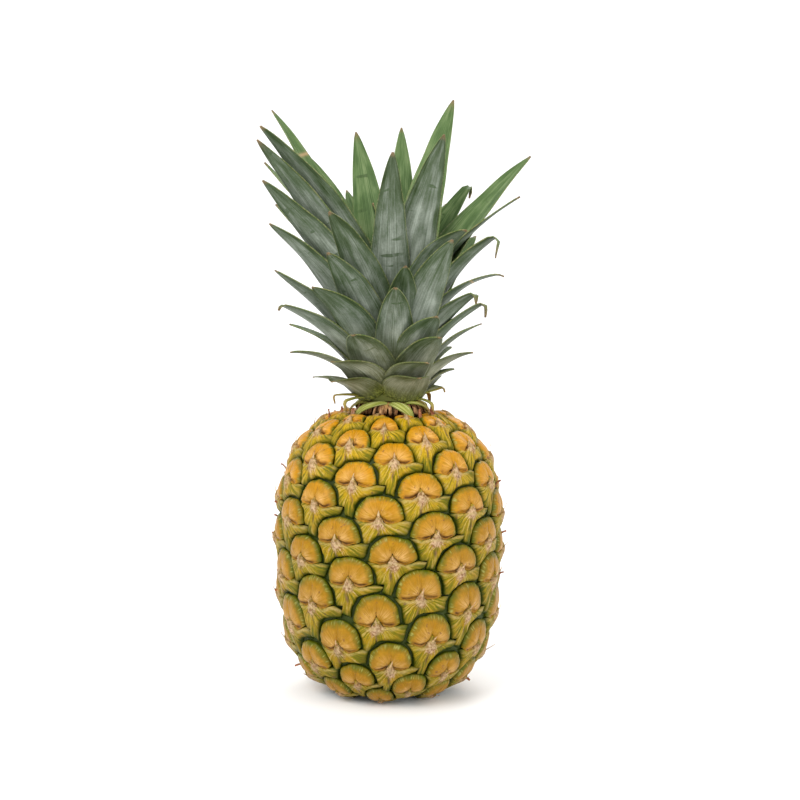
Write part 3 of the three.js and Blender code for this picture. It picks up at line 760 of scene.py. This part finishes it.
TIP_PAPERS = ((0.35, (0.30, 0.16, 0.06)), (0.6, (0.58, 0.42, 0.22)))
TIP_RED = (0.30, 0.10, 0.04)
tip_skin = new_material("tip_skin", 0.6, 0.1)
place = object_place(tip_skin)
up, eye_draw = attributes(tip_skin, "up", "eye_draw")
shoulder = rising(split(place)[2], 0.11, 0.15) * 0.4 + eye_draw
dried = rising(up, 0.001, 0.006) * rising(shoulder, 0.3, 0.7)
paint(tip_skin, blend(dried, ramp(noise(place, 600.0), TIP_PAPERS), TIP_RED))

dome_templates = [plate("dome_plate", DOME_CENTRE, in_dome, dome_lift)] * 2
bract_templates = [plate("bract_plate", BRACT_CENTRE, skirt_test(side), bract_lift(side)) for side in (1, -1)]
grow_eyes("fruit_domes", dome_templates, dome_skin)
grow_eyes("fruit_bracts", bract_templates, bract_skin)
grow_eyes("fruit_bract_tips", [papery_tip()] * 2, tip_skin, length_spread=0.9, bend=60.0, lean=70.0,
          roughness=0.0, wander=0.0)

# Stalk: the stub that the fruit grew on, cut off level with its base, woody and fibrous.
# Its edges are worn round, and its fibres run up it as shallow ribs.
STALK_RADIUS, STALK_TOP, STALK_SIDES = 0.009, 0.012, 64
STALK_RIB, STALK_RIBS = 0.00012, 16
STALK_FOOT = ((-0.0005, 0.0001), (-0.0001, 0.0005), (0.0, 0.0012))
STALK_HEAD = 0.0004
STALK_BROWNS = ((0.36, (0.10, 0.060, 0.020)), (0.5, (0.30, 0.20, 0.085)), (0.64, (0.50, 0.38, 0.20)))


def stretched(place, share):
    """The same place with its height shrunk, so that a noise is drawn out upwards."""
    return value(tree_of(place), "ShaderNodeMapping", {"Vector": place, "Scale": (1.0, 1.0, share)})


stalk_profile = [(STALK_RADIUS + inwards, height) for inwards, height in STALK_FOOT]
stalk_profile += [(STALK_RADIUS, STALK_TOP - STALK_HEAD), (STALK_RADIUS - STALK_HEAD, STALK_TOP)]
stalk_points, stalk_faces = lathe(stalk_profile, STALK_SIDES)
stalk_turns = np.arctan2(stalk_points[:, 1], stalk_points[:, 0])
stalk_points[:, :2] *= 1 + STALK_RIB / STALK_RADIUS * (np.cos(STALK_RIBS * stalk_turns) - 1)[:, None]
stalk_skin = new_material("stalk_skin", 0.85, 0.1)
fibres = noise(stretched(object_place(stalk_skin), 0.1), 1400.0, 4.0)
paint(stalk_skin, ramp(fibres, STALK_BROWNS))
new_piece("fruit_stalk", stalk_points, stalk_faces, stalk_skin, "stalk")

# Crown: the leafy shoot that grows on the fruit, one short stem with some sixty stiff leaves set round it.
# Each leaf is a tapering gutter, grey green with a whitish bloom outside, fresh green inside, and ends in a
# brown point. The leaves in front are listed one by one, those behind follow the golden turn.

# Lengths so far are in metres. From here on they are in millimetres, until a piece is made.
MM = 0.001
STEM_SEAT = 158.1
STEM_FOOT_RADIUS, STEM_TOP_RADIUS, STEM_LENGTH = 15.2, 7.6, 49.7
STEM_SIDES = 32
BUD_TOP, BUD_TOP_RADIUS = 236, 1.5
ROOT_SINK = 0.1
LOWEST_TIP = 172
ATTACH_SHARE = 0.24
ROOT_WIDTHS = (0.95, 0.5)
FULLNESSES = (3.0, 1.9)
ROOT_BOW, TIP_BOWS = 0.42, (0.50, 0.28)
STEEPEST_ROOT = 0.04
LEAF_CHANNEL = 0.38
BLADE_TURN, BLADE_TWIST, TWIST_END = 0.28, 0.42, 0.4
HANDLE_SHARE, LINE_STEPS = 0.36, 80
HANG_STEPS, HANG_BENDS = 12, 5
STATION_POWER = 0.9
SWELL_END, TAPER_POWER = 0.35, 0.82
RIPPLE, LONG_RIPPLE, SHORT_RIPPLE, LONG_SHIFT, SHORT_SHIFT = 0.03, 13, 5.5, 9, 40
WAVE_HEIGHT, WAVE_LENGTH, WAVE_SKEW, WAVE_SHIFT = 0.35, 7, 3, 20
CHANNEL_LOSS, CHANNEL_SLOPE = 0.6, 0.35
MIDDLE_THICKNESS, EDGE_THICKNESS = 1.5, 0.5
LEAF_TIP_WIDTH = 0.9
LEAF_SWAY = 3
LEAF_STATIONS = 30
LEAF_COLUMNS = 9
GOLDEN_TURN = math.radians(137.5)
SPIRAL_COUNT = 56
FAR_SIDE = -0.62
SPIRAL_HEIGHTS = (166, 292)
SPIRAL_REACH, SPIRAL_SPREAD, SPIRAL_BEND, SPIRAL_WIDTH = 30, 41, 40, 19
REACH_DRAWS, WIDTH_DRAWS = (0.92, 1.02), (0.9, 1.2)
HEART_COUNT, HEART_REACH, HEART_HEIGHT, HEART_STEP, HEART_WIDTH = 5, 11, 254, 4, 12
LEAF_MARKS = ("run", "aside", "along", "inner", "leaf_draw", "dry")
# Each row: how far right, forward and up the tip stands, the width and how far the leaf bows aside, all in
# millimetres, how much it arches, the length of the tip that hangs down past it, the turn of that tip in
# radians, and how much of the leaf is dried.
FACING_LEAVES = (
    (2, 56, 218, 21, 0, 1, 0, 0, 0.02), (7, 50, 229, 21, 0, 1, 0, 0, 0.03),
    (-19, 48, 194, 24, 0, 1, 0, 0, 0.02), (15, 36, 172, 25, 0, 1, 0, 0, 0.02),
    (-30, 30, 169, 25, 0, 1, 0, 0, 0.03), (-30, 38, 180, 24, 0, 1, 0, 0, 0.02),
    (-31, 58, 255, 25, 0, 1, 0, 0, 0.01), (-32, 50, 235, 24, 0, 1, 0, 0, 0.01),
    (-40, 42, 218, 23, 0, 1, 0, 0, 0.02), (0, 62, 284, 24, 0, 1, 0, 0, 0.03),
    (25, 60, 293, 27, 0, 1, 0, 0, 0.03), (23, 46, 204, 21, 0, 1, 0, 0, 0.04),
    (25, 42, 193, 21, 0, 1, 0, 0, 0.03), (19, 40, 180, 22, 0, 1, 0, 0, 0.03),
    (30, 56, 242, 24, 0, 0.6, 0, 0, 0.02), (36, 46, 247, 21, 0, 2.0, 2, 0.4, 0.03),
    (-67, 38, 298, 24, 0, 1.05, 0, 0, 0.01), (-68, 42, 291, 23, 0, 0.8, 0, 0, 0.04),
    (-66, 36, 271, 27, 0, 0.8, 0, 0, 0.02), (-63, 26, 250, 24, 0, 0.8, 0, 0, 0.02),
    (-61, 18, 226, 24, 0, 0.65, 0, 0, 0.02), (-56, 24, 208, 22, 0, 0.9, 4, 1.4, 0.06),
    (-53, 14, 183, 19, 0, 1.15, 0, 0, 0.02), (74, -20, 289, 33, 0, 0.8, 0, 0, 0.03),
    (67, 4, 266, 20, 0, 1.5, 0, 0, 0.04), (52, 16, 244, 19, 0, 1, 13, 2.4, 0.10),
    (55, 10, 225, 19, 0, 1.9, 4, 0.5, 0.06), (42, 28, 215, 16, 0, 1.2, 6, 2.0, 0.08),
    (47, 10, 209, 18, 0, 0.8, 8, 2.1, 0.14), (48, 2, 199, 18, 0, 0.9, 0, 0, 0.05),
    (43, 14, 184, 18, 0, 1, 0, 0, 0.03), (34, -4, 174, 16, 0, 1, 0, 0, 0.03),
    (28, -8, 164, 14, 0, 1, 0, 0, 0.03), (-42, -4, 169, 16, 0, 0.9, 0, 0, 0.08),
    (-55, -6, 197, 18, 0, 0.9, 0, 0, 0.02), (-66, -20, 312, 20, 0, 0.6, 0, 0, 0.02),
    (-69, -8, 283, 22, 0, 0.8, 0, 0, 0.03), (-63, -10, 261, 20, 0, 0.8, 0, 0, 0.02),
    (-21, -34, 302, 25, 0, 0.6, 0, 0, 0.04), (4, -26, 304, 24, -4, 0.2, 0, 0, 0.02),
    (32, -24, 319, 27, -2, 0.6, 0, 0, 0.04), (41, -36, 273, 18, 0, 1, 8, 2.6, 0.04),
    (33, -25, 185, 16, 0, 1, 0, 0, 0.03),
)


def drawer(seed):
    """Seeded draws between 0 and 1, the same in every run."""
    state = seed

    def scramble(number, other):
        return (number * other) & 0xFFFFFFFF

    def draw():
        nonlocal state
        state = (state + 0x6D2B79F5) & 0xFFFFFFFF
        mixed = scramble(state ^ state >> 15, 1 | state)
        mixed = ((mixed + scramble(mixed ^ mixed >> 7, 61 | mixed)) & 0xFFFFFFFF) ^ mixed
        return ((mixed ^ mixed >> 14) & 0xFFFFFFFF) / 2 ** 32

    return draw


def outward(turn, reach=1.0, up=0.0):
    """A point at a turn from the front, so far out from the axis and so high."""
    return np.array([math.sin(turn) * reach, -math.cos(turn) * reach, up])


def mix(low, high, share):
    return low + (high - low) * share


class Foliage:
    """Closed leaf blades gathered into one mesh, with where each point lies on its leaf."""

    def __init__(self):
        self.points, self.faces = [], []
        self.marks = {name: [] for name in LEAF_MARKS}
        self.count = 0

    def add(self, points, faces, **marks):
        self.points.append(points)
        self.faces += [tuple(self.count + corner for corner in face) for face in faces]
        for name, numbers in self.marks.items():
            numbers.append(np.broadcast_to(marks.get(name, 0.0), len(points)).astype(float))
        self.count += len(points)

    def add_stem(self, rings, sides, **marks):
        """A closed stem through rings of (radius, height)."""
        turns = 2 * math.pi * np.arange(sides) / sides
        points = [outward(turn, radius, up) for radius, up in rings for turn in turns]
        self.add(np.array(points), tube(len(rings), sides), **marks)

    def piece(self, name, material, part, slot):
        marks = {label: np.concatenate(numbers) for label, numbers in self.marks.items()}
        new_piece(name, np.concatenate(self.points) * MM, self.faces, material, part, marks)


def leaf_line(root, root_lean, tip, tip_lean, bow, out, hang, hang_turn):
    """The middle line of a leaf: a curve with given leans at its ends, and the length that hangs past it."""
    handle = HANDLE_SHARE * np.linalg.norm(tip - root)

    def aim(lean):
        return out * math.sin(lean) + np.array([0, 0, math.cos(lean)])

    first = root + aim(root_lean) * handle + bow
    second = tip - aim(tip_lean) * handle + bow
    t = np.linspace(0, 1, LINE_STEPS)[:, None]
    line = root * (1 - t) ** 3 + 3 * first * t * (1 - t) ** 2 + 3 * second * t * t * (1 - t) + tip * t ** 3
    for step in range(1, HANG_STEPS + 1 if hang else 0):
        bent = tip_lean + hang_turn * min(step / HANG_BENDS, 1)
        line = np.vstack([line, line[-1] + aim(bent) * hang / HANG_STEPS])
    return line


def blade(foliage, root, root_lean, tip, tip_lean, root_width, width, fullness, channel, sway, draw,
          hang=0.0, hang_turn=0.0, dry=0.02, stations=LEAF_STATIONS, thickness=MIDDLE_THICKNESS, twist=0.0):
    """A closed leaf from root to tip, in millimetres, hollowed like a gutter towards the stem."""
    turn = math.atan2(tip[0], -tip[1])
    face = outward(turn - BLADE_TURN * math.sin(2 * turn))
    side = np.array([-face[1], face[0], 0.0])
    line = leaf_line(root, root_lean, tip, tip_lean, side * sway, outward(turn), hang, hang_turn)
    steps = np.concatenate([[0], np.cumsum(np.linalg.norm(np.diff(line, axis=0), axis=1))])
    length = steps[-1]
    shares = np.linspace(0, 1, stations + 1) ** STATION_POWER
    run = shares * length
    middle = np.column_stack([np.interp(run, steps, line[:, axis]) for axis in range(3)])
    along = np.gradient(middle, axis=0)
    along /= np.linalg.norm(along, axis=1)[:, None]
    level = side - along * (along @ side)[:, None]
    level /= np.linalg.norm(level, axis=1)[:, None]
    upright = np.cross(along, level)
    angle = -twist * math.sin(2 * turn) * np.minimum(shares / TWIST_END, 1)[:, None]
    across = level * np.cos(angle) + upright * np.sin(angle)
    inward = upright * np.cos(angle) - level * np.sin(angle)
    swell = root_width + (1 - root_width) * np.sin(math.pi / 2 * np.minimum(shares / SWELL_END, 1))
    taper = (1 - shares ** fullness) ** TAPER_POWER
    ripple = np.sin(run / SHORT_RIPPLE + SHORT_SHIFT * draw) * np.sin(run / LONG_RIPPLE + LONG_SHIFT * draw)
    half = (width * swell * taper * (1 + RIPPLE * ripple) + LEAF_TIP_WIDTH * shares) / 2
    lift = half * channel * (1 - CHANNEL_LOSS * shares)
    columns = np.sin(np.linspace(-1, 1, LEAF_COLUMNS) * math.pi / 2)
    rim = np.abs(columns)
    depth = lift[:, None] * (CHANNEL_SLOPE * rim + (1 - CHANNEL_SLOPE) * rim ** 2)
    wave = run[:, None] / WAVE_LENGTH + WAVE_SKEW * columns + WAVE_SHIFT * draw
    depth += WAVE_HEIGHT * np.sin(wave) * rim
    body = mix(thickness, EDGE_THICKNESS, shares)[:, None] * (1 - rim ** 3) + EDGE_THICKNESS * rim ** 3
    spine = middle[:, None] + across[:, None] * (half[:, None] * columns)[..., None]
    inner_sheet = spine + inward[:, None] * (depth + body / 2)[..., None]
    outer_sheet = spine + inward[:, None] * (depth - body / 2)[..., None]
    points = np.concatenate([inner_sheet, outer_sheet[:, ::-1]], axis=1).reshape(-1, 3)
    rows = np.repeat(shares, 2 * LEAF_COLUMNS)
    foliage.add(
        points, tube(stations + 1, 2 * LEAF_COLUMNS, inward=True), run=rows * length * MM, along=rows,
        aside=np.tile(np.concatenate([columns, columns[::-1]]), stations + 1),
        inner=np.tile(np.repeat([1.0, 0.0], LEAF_COLUMNS), stations + 1),
        leaf_draw=draw, dry=np.clip((rows - 1 + dry) / dry, 0, 1))


def lean_between(root, tip):
    return math.atan2(math.hypot(tip[0], tip[1]) - math.hypot(root[0], root[1]), tip[2] - root[2])


def crown_leaf(foliage, tip, width, sway, draw, arch=1, hang=0.0, hang_turn=0.0, dry=0.02):
    """A leaf on the stem: the higher its tip, the higher its root, and the narrower its foot."""
    rise = ATTACH_SHARE * max(tip[2] - LOWEST_TIP, 0)
    stem_radius = mix(STEM_FOOT_RADIUS, STEM_TOP_RADIUS, min(rise / STEM_LENGTH, 1))
    root = outward(math.atan2(tip[0], -tip[1]), stem_radius - ROOT_SINK, STEM_SEAT + rise)
    lean = lean_between(root, tip)
    height = min(2 * rise / STEM_LENGTH, 1)
    root_lean = max(lean - ROOT_BOW * arch, STEEPEST_ROOT)
    tip_lean = lean + mix(*TIP_BOWS, height) * arch
    blade(foliage, root, root_lean, tip, tip_lean, mix(*ROOT_WIDTHS, height), width, mix(*FULLNESSES, height),
          LEAF_CHANNEL, sway, draw, hang, hang_turn, dry, twist=BLADE_TWIST * height)


crown = Foliage()
crown.add_stem(((STEM_FOOT_RADIUS, STEM_SEAT), (STEM_TOP_RADIUS, STEM_SEAT + STEM_LENGTH),
                (BUD_TOP_RADIUS, BUD_TOP)), STEM_SIDES, leaf_draw=0.5)
sway_draw = drawer(5)
look_draw = drawer(17)
for right, forward, up, width, bow, arch, hang, hang_turn, dry in FACING_LEAVES:
    tip = np.array([right, -forward, up], float)
    sway = bow + LEAF_SWAY * (2 * sway_draw() - 1)
    crown_leaf(crown, tip, width, sway, look_draw(), arch, hang, hang_turn, dry)
for order in range(SPIRAL_COUNT):
    turn = GOLDEN_TURN * order
    up = mix(*SPIRAL_HEIGHTS, order / (SPIRAL_COUNT - 1))
    reach = SPIRAL_REACH + SPIRAL_SPREAD * (1 - math.exp(-(up - STEM_SEAT) / SPIRAL_BEND))
    tip = outward(turn, reach * mix(*REACH_DRAWS, sway_draw()), up)
    sway = LEAF_SWAY * (2 * sway_draw() - 1)
    if math.cos(turn) < FAR_SIDE:
        crown_leaf(crown, tip, SPIRAL_WIDTH * mix(*WIDTH_DRAWS, sway_draw()), sway, look_draw())
for order in range(HEART_COUNT):
    tip = outward(GOLDEN_TURN * order, HEART_REACH, HEART_HEIGHT + HEART_STEP * order)
    crown_leaf(crown, tip, HEART_WIDTH, 0, look_draw())


def on_leaf(across_scale, run_scale, aside, run, leaf_draw):
    """A place on a leaf for a noise that is drawn out along it and differs from leaf to leaf."""
    inputs = {0: aside * across_scale, 1: run * run_scale, 2: leaf_draw * 40.0}
    return value(tree_of(aside), "ShaderNodeCombineXYZ", inputs)


BLOOMS = ((0.32, (0.024, 0.044, 0.010)), (0.44, (0.070, 0.100, 0.052)), (0.55, (0.160, 0.190, 0.145)),
          (0.68, (0.33, 0.37, 0.31)))
FRESH_GREENS = ((0.36, (0.035, 0.075, 0.015)), (0.5, (0.080, 0.140, 0.040)), (0.64, (0.17, 0.23, 0.095)))
SCRATCH_GREEN, SCAR_TAN = (0.030, 0.060, 0.012), (0.36, 0.25, 0.12)
MARGINS = ((0.4, (0.10, 0.16, 0.028)), (0.62, (0.32, 0.30, 0.13)))
AGED_GREENS = ((0.32, (0.060, 0.060, 0.016)), (0.46, (0.150, 0.145, 0.070)), (0.66, (0.36, 0.35, 0.22)))
FOOT_GREENS = ((0.4, (0.060, 0.075, 0.006)), (0.62, (0.22, 0.24, 0.045)))
TIP_STRAWS = ((0.4, (0.09, 0.05, 0.022)), (0.62, (0.30, 0.20, 0.10)))
leaf_skin = new_material("leaf_skin", 0.5, 0.2)
run, aside, along, inner, leaf_draw, dry = attributes(leaf_skin, *LEAF_MARKS)
edge = maths("ABSOLUTE", aside)
veins = noise(on_leaf(26.0, 6.0, aside, run, leaf_draw), 1.0, 4.0)
blots = noise(on_leaf(2.4, 75.0, aside, run, leaf_draw), 1.0, 5.0)
grains = noise(on_leaf(14.0, 900.0, aside, run, leaf_draw), 1.0, 2.0)
bloom_and_foot_shade = veins * 0.30 + blots * 0.46 + 0.135 + grains * 0.10 + leaf_draw * 0.09
# The leaf also darkens towards its tip and its edges; near its foot the darkening is painted shade, where it
# comes out from behind the leaves in front.
bloom_and_foot_shade = bloom_and_foot_shade - rising(along, 0.4, 1.0, 0.20) - rising(along, 0.5, 0.1, 0.16) - rising(edge, 0.4, 1.0, 0.12)
colour = blend(inner, ramp(bloom_and_foot_shade, BLOOMS), ramp(veins * 0.5 + blots * 0.5, FRESH_GREENS))
scratch_noise = noise(on_leaf(0.6, 260.0, aside, run, leaf_draw), 1.0, 1.0)
scratches = rising(scratch_noise, 0.66, 0.70) * rising(blots, 0.42, 0.52)
scratches = scratches * rising(edge, 0.8, 0.5) * rising(leaf_draw, 0.3, 0.5)
colour = blend(scratches * 0.7, colour, SCRATCH_GREEN)
scar = bell(along, 0.78, 0.008) * rising(leaf_draw, 0.82, 0.84) * rising(blots, 0.35, 0.45)
colour = blend(scar, colour, SCAR_TAN)
colour = blend(rising(edge, 0.94, 1.0) * 0.6, colour, ramp(grains, MARGINS))
height = split(object_place(leaf_skin))[2]
colour = blend(rising(height, 0.200, 0.168) * 0.6, colour, ramp(bloom_and_foot_shade, AGED_GREENS))
colour = blend(rising(along, 0.30, 0.03) * rising(veins, 0.30, 0.62), colour, ramp(grains, FOOT_GREENS))
colour = blend(dry, colour, ramp(grains, TIP_STRAWS))
paint(leaf_skin, colour, veins, strength=0.35)
crown.piece("crown_leaves", leaf_skin, "crown", "leaf")

# Collar: the short dried neck between fruit and crown. Its old leaf bases have bent down over it like small
# roofs, pale green where they are still soft, and frayed into tan fibres over dark brown hollows.
NECK_CORE_RADIUS, NECK_FOOT, NECK_TOP = 12.5, 149.7, 157.8
NECK_SIDES = 48
ROOF_ROOT, ROOF_ROOT_HEIGHT = 12.5, 157.2
ROOF_LEANS = (1.3, 3.0)
CURLED_ROOT, CURLED_ROOT_HEIGHT = 12, 157.0
# Each roof: the turns of its root and its tip from the front in degrees, how far out and up the tip is, its
# width, and how dried it is.
ROOFS = (
    (-10, -50, 23.5, 149.6, 5.5, 0.02), (-12, -9, 17.0, 153.6, 8, 0.95), (3, 34, 21.0, 148.6, 6.5, 0.02),
    (32, 60, 23.0, 153.0, 4, 0.35), (84, 74, 22.0, 150.5, 8, 0.7), (-60, -84, 22.5, 150.5, 6, 0.5),
    (100, 118, 21.5, 151.0, 8, 0.2), (150, 143, 21.0, 152.0, 8, 0.8), (165, 185, 22.5, 150.6, 9, 0.1),
    (-150, -146, 21.0, 152.0, 8, 0.9), (-100, -124, 22.0, 151.0, 8, 0.3),
)
FIBRE_COUNT, FIBRE_STATIONS, FIBRE_LEANS, FIBRE_ASIDE = 90, 6, (1.6, 2.9), 0.16
FIBRE_ROOTS, FIBRE_ROOT_HEIGHT, FIBRE_REACHES, FIBRE_FEET = (12.2, 13.7), 157.2, (14.5, 19.0), (150.2, 151.8)
FIBRE_ROOT_WIDTH, FIBRE_WIDTHS, FIBRE_SWAY = 0.6, (0.7, 1.5), 0.8
# Each curled leaf: how far right, forward and up its tip is, its width, the leans of its root and its tip,
# and the length and turn of the end that hangs.
CURLED_LEAVES = (
    (-29, 10, 160.5, 3.2, 1.0, 1.6, 5, 1.7), (-23, 15, 158.0, 2.8, 0.9, 1.9, 6, 1.5),
    (27, 10, 165.0, 2.6, 0.7, 1.2, 3, 1.6), (21, 15, 157.5, 3.6, 1.0, 1.9, 5, 1.0),
    (-14, -22, 159.0, 4, 1.0, 1.9, 6, 1.5), (20, -18, 160.0, 4, 0.9, 1.8, 6, 1.2),
)

neck = Foliage()
neck.add_stem(((NECK_CORE_RADIUS, NECK_FOOT), (NECK_CORE_RADIUS, NECK_TOP)), NECK_SIDES, dry=1.0)
collar_draw = drawer(23)
for order in range(FIBRE_COUNT):
    turn = 2 * math.pi * (order + collar_draw()) / FIBRE_COUNT
    root = outward(turn, mix(*FIBRE_ROOTS, collar_draw()), FIBRE_ROOT_HEIGHT)
    turn += FIBRE_ASIDE * (collar_draw() - 0.5)
    tip = outward(turn, mix(*FIBRE_REACHES, collar_draw()), mix(*FIBRE_FEET, collar_draw()))
    width = mix(*FIBRE_WIDTHS, collar_draw())
    sway = FIBRE_SWAY * (collar_draw() - 0.5)
    blade(neck, root, FIBRE_LEANS[0], tip, FIBRE_LEANS[1], FIBRE_ROOT_WIDTH, width, fullness=3.0,
          channel=0.1, sway=sway, draw=collar_draw(), dry=0.05, stations=FIBRE_STATIONS, thickness=0.4)

FIBRE_TANS = ((0.35, (0.15, 0.060, 0.020)), (0.65, (0.52, 0.30, 0.14)))
HOLLOW_BROWN = (0.10, 0.045, 0.016)
fibre_skin = new_material("fibre_skin", 0.75, 0.1)
tans = ramp(noise(stretched(object_place(fibre_skin), 0.12), 900.0), FIBRE_TANS)
paint(fibre_skin, blend(attributes(fibre_skin, "dry")[0], tans, HOLLOW_BROWN))
neck.piece("collar_neck", fibre_skin, "collar", "dried_leaf")

roofs = Foliage()
for root_turn, tip_turn, reach, up, width, dried in ROOFS:
    root = outward(math.radians(root_turn), ROOF_ROOT, ROOF_ROOT_HEIGHT)
    tip = outward(math.radians(tip_turn), reach, up)
    blade(roofs, root, ROOF_LEANS[0], tip, ROOF_LEANS[1], root_width=0.95, width=width, fullness=2.2,
          channel=-0.4, sway=0, draw=dried, dry=0.15, stations=18, thickness=0.8)
for right, forward, up, width, root_lean, tip_lean, hang, hang_turn in CURLED_LEAVES:
    tip = np.array([right, -forward, up], float)
    root = outward(math.atan2(tip[0], -tip[1]), CURLED_ROOT, CURLED_ROOT_HEIGHT)
    blade(roofs, root, root_lean, tip, tip_lean, root_width=0.9, width=width, fullness=2.0, channel=0.5,
          sway=1, draw=0.3 + 0.3 * collar_draw(), hang=hang, hang_turn=hang_turn, dry=0.3,
          stations=20, thickness=0.7)

SOFT_GREENS = ((0.34, (0.14, 0.17, 0.02)), (0.5, (0.34, 0.37, 0.07)), (0.66, (0.56, 0.56, 0.24)))
ROOF_STRAWS = ((0.3, (0.22, 0.11, 0.025)), (0.7, (0.56, 0.33, 0.12)))
ROOF_RIM, ROOF_TIP = (0.12, 0.14, 0.02), (0.24, 0.10, 0.03)
roof_skin = new_material("roof_skin", 0.6, 0.15)
run, aside, along, inner, leaf_draw, dry = attributes(roof_skin, *LEAF_MARKS)
veins = noise(on_leaf(9.0, 60.0, aside, run, leaf_draw), 1.0, 4.0)
dried = rising(along * 0.35 + leaf_draw, 0.45, 0.95)
colour = blend(dried, ramp(veins, SOFT_GREENS), ramp(veins, ROOF_STRAWS))
colour = blend(rising(maths("ABSOLUTE", aside), 0.80, 1.0) * 0.6, colour, ROOF_RIM)
paint(roof_skin, blend(dry * 0.6, colour, ROOF_TIP))
roofs.piece("collar_roofs", roof_skin, "collar", "dried_leaf")

# Dried bracts: the points of a few bracts on the shoulder, the flanks and the base that have dried red brown,
# let go of the skin and curled away from it.
DRIED_COUNT = 14
DRIED_DEGREES, DRIED_HEIGHTS = (110, 250), (12, 148)
DRIED_LENGTHS, DRIED_WIDTHS = (4, 7), (1.6, 2.6)
DRIED_TURNS = (-0.5, 0.6)
DRIED_SINK, DRIED_OUT, DRIED_UP = 0.0012, 0.75, 0.65
# Each: its turn from the front in degrees, its height on the fruit, its length and its width in millimetres.
FACING_DRIED = (
    (-80, 147, 7, 3.6), (-74, 150, 6, 2.8), (62, 150.5, 7, 2.6), (-88, 118, 6, 1.6), (-86, 99, 5, 1.8),
    (-92, 91, 5, 1.6), (-85, 82, 6, 1.4), (86, 84, 6, 1.4), (84, 112, 5, 1.8), (74, 8, 7, 4.2),
    (-80, 13, 7, 2.6), (40, 151, 5, 2.2), (-48, 150, 6, 3.0), (88, 62, 5, 1.6), (-84, 52, 5, 1.6),
)

dried_draw = drawer(31)
dried_places = list(FACING_DRIED)
for order in range(DRIED_COUNT):
    spreads = (DRIED_DEGREES, DRIED_HEIGHTS, DRIED_LENGTHS, DRIED_WIDTHS)
    dried_places.append([mix(*spread, dried_draw()) for spread in spreads])
dried_bracts = Foliage()
for degrees, up, length, width in dried_places:
    turn = math.radians(degrees)
    way = np.interp(up * MM, outline_points[:, 2], outline_ways)
    root = on_barrel(turn, way, -DRIED_SINK) / MM
    outer = (on_barrel(turn, way, MM) - on_barrel(turn, way, 0.0)) / MM
    upper = (on_barrel(turn, way + MM, 0.0) - on_barrel(turn, way, 0.0)) / MM
    tip = root + (DRIED_OUT * outer + DRIED_UP * upper) * length
    lean = lean_between(root, tip)
    blade(dried_bracts, root, lean + DRIED_TURNS[0], tip, lean + DRIED_TURNS[1], root_width=0.9,
          width=width, fullness=1.2, channel=0.4, sway=0, draw=dried_draw(), dry=0.4, stations=12,
          thickness=0.6)

DRIED_REDS = ((0.35, (0.16, 0.045, 0.02)), (0.65, (0.42, 0.17, 0.08)))
DRIED_STRAWS = ((0.35, (0.28, 0.18, 0.10)), (0.65, (0.58, 0.44, 0.30)))
dried_skin = new_material("dried_skin", 0.7, 0.1)
along, leaf_draw = attributes(dried_skin, "along", "leaf_draw")
flecks = noise(object_place(dried_skin), 800.0)
colour = blend(rising(along + leaf_draw, 0.5, 1.2), ramp(flecks, DRIED_STRAWS), ramp(flecks, DRIED_REDS))
paint(dried_skin, colour)
dried_bracts.piece("fruit_dried_bracts", dried_skin, "fruit", "rind")
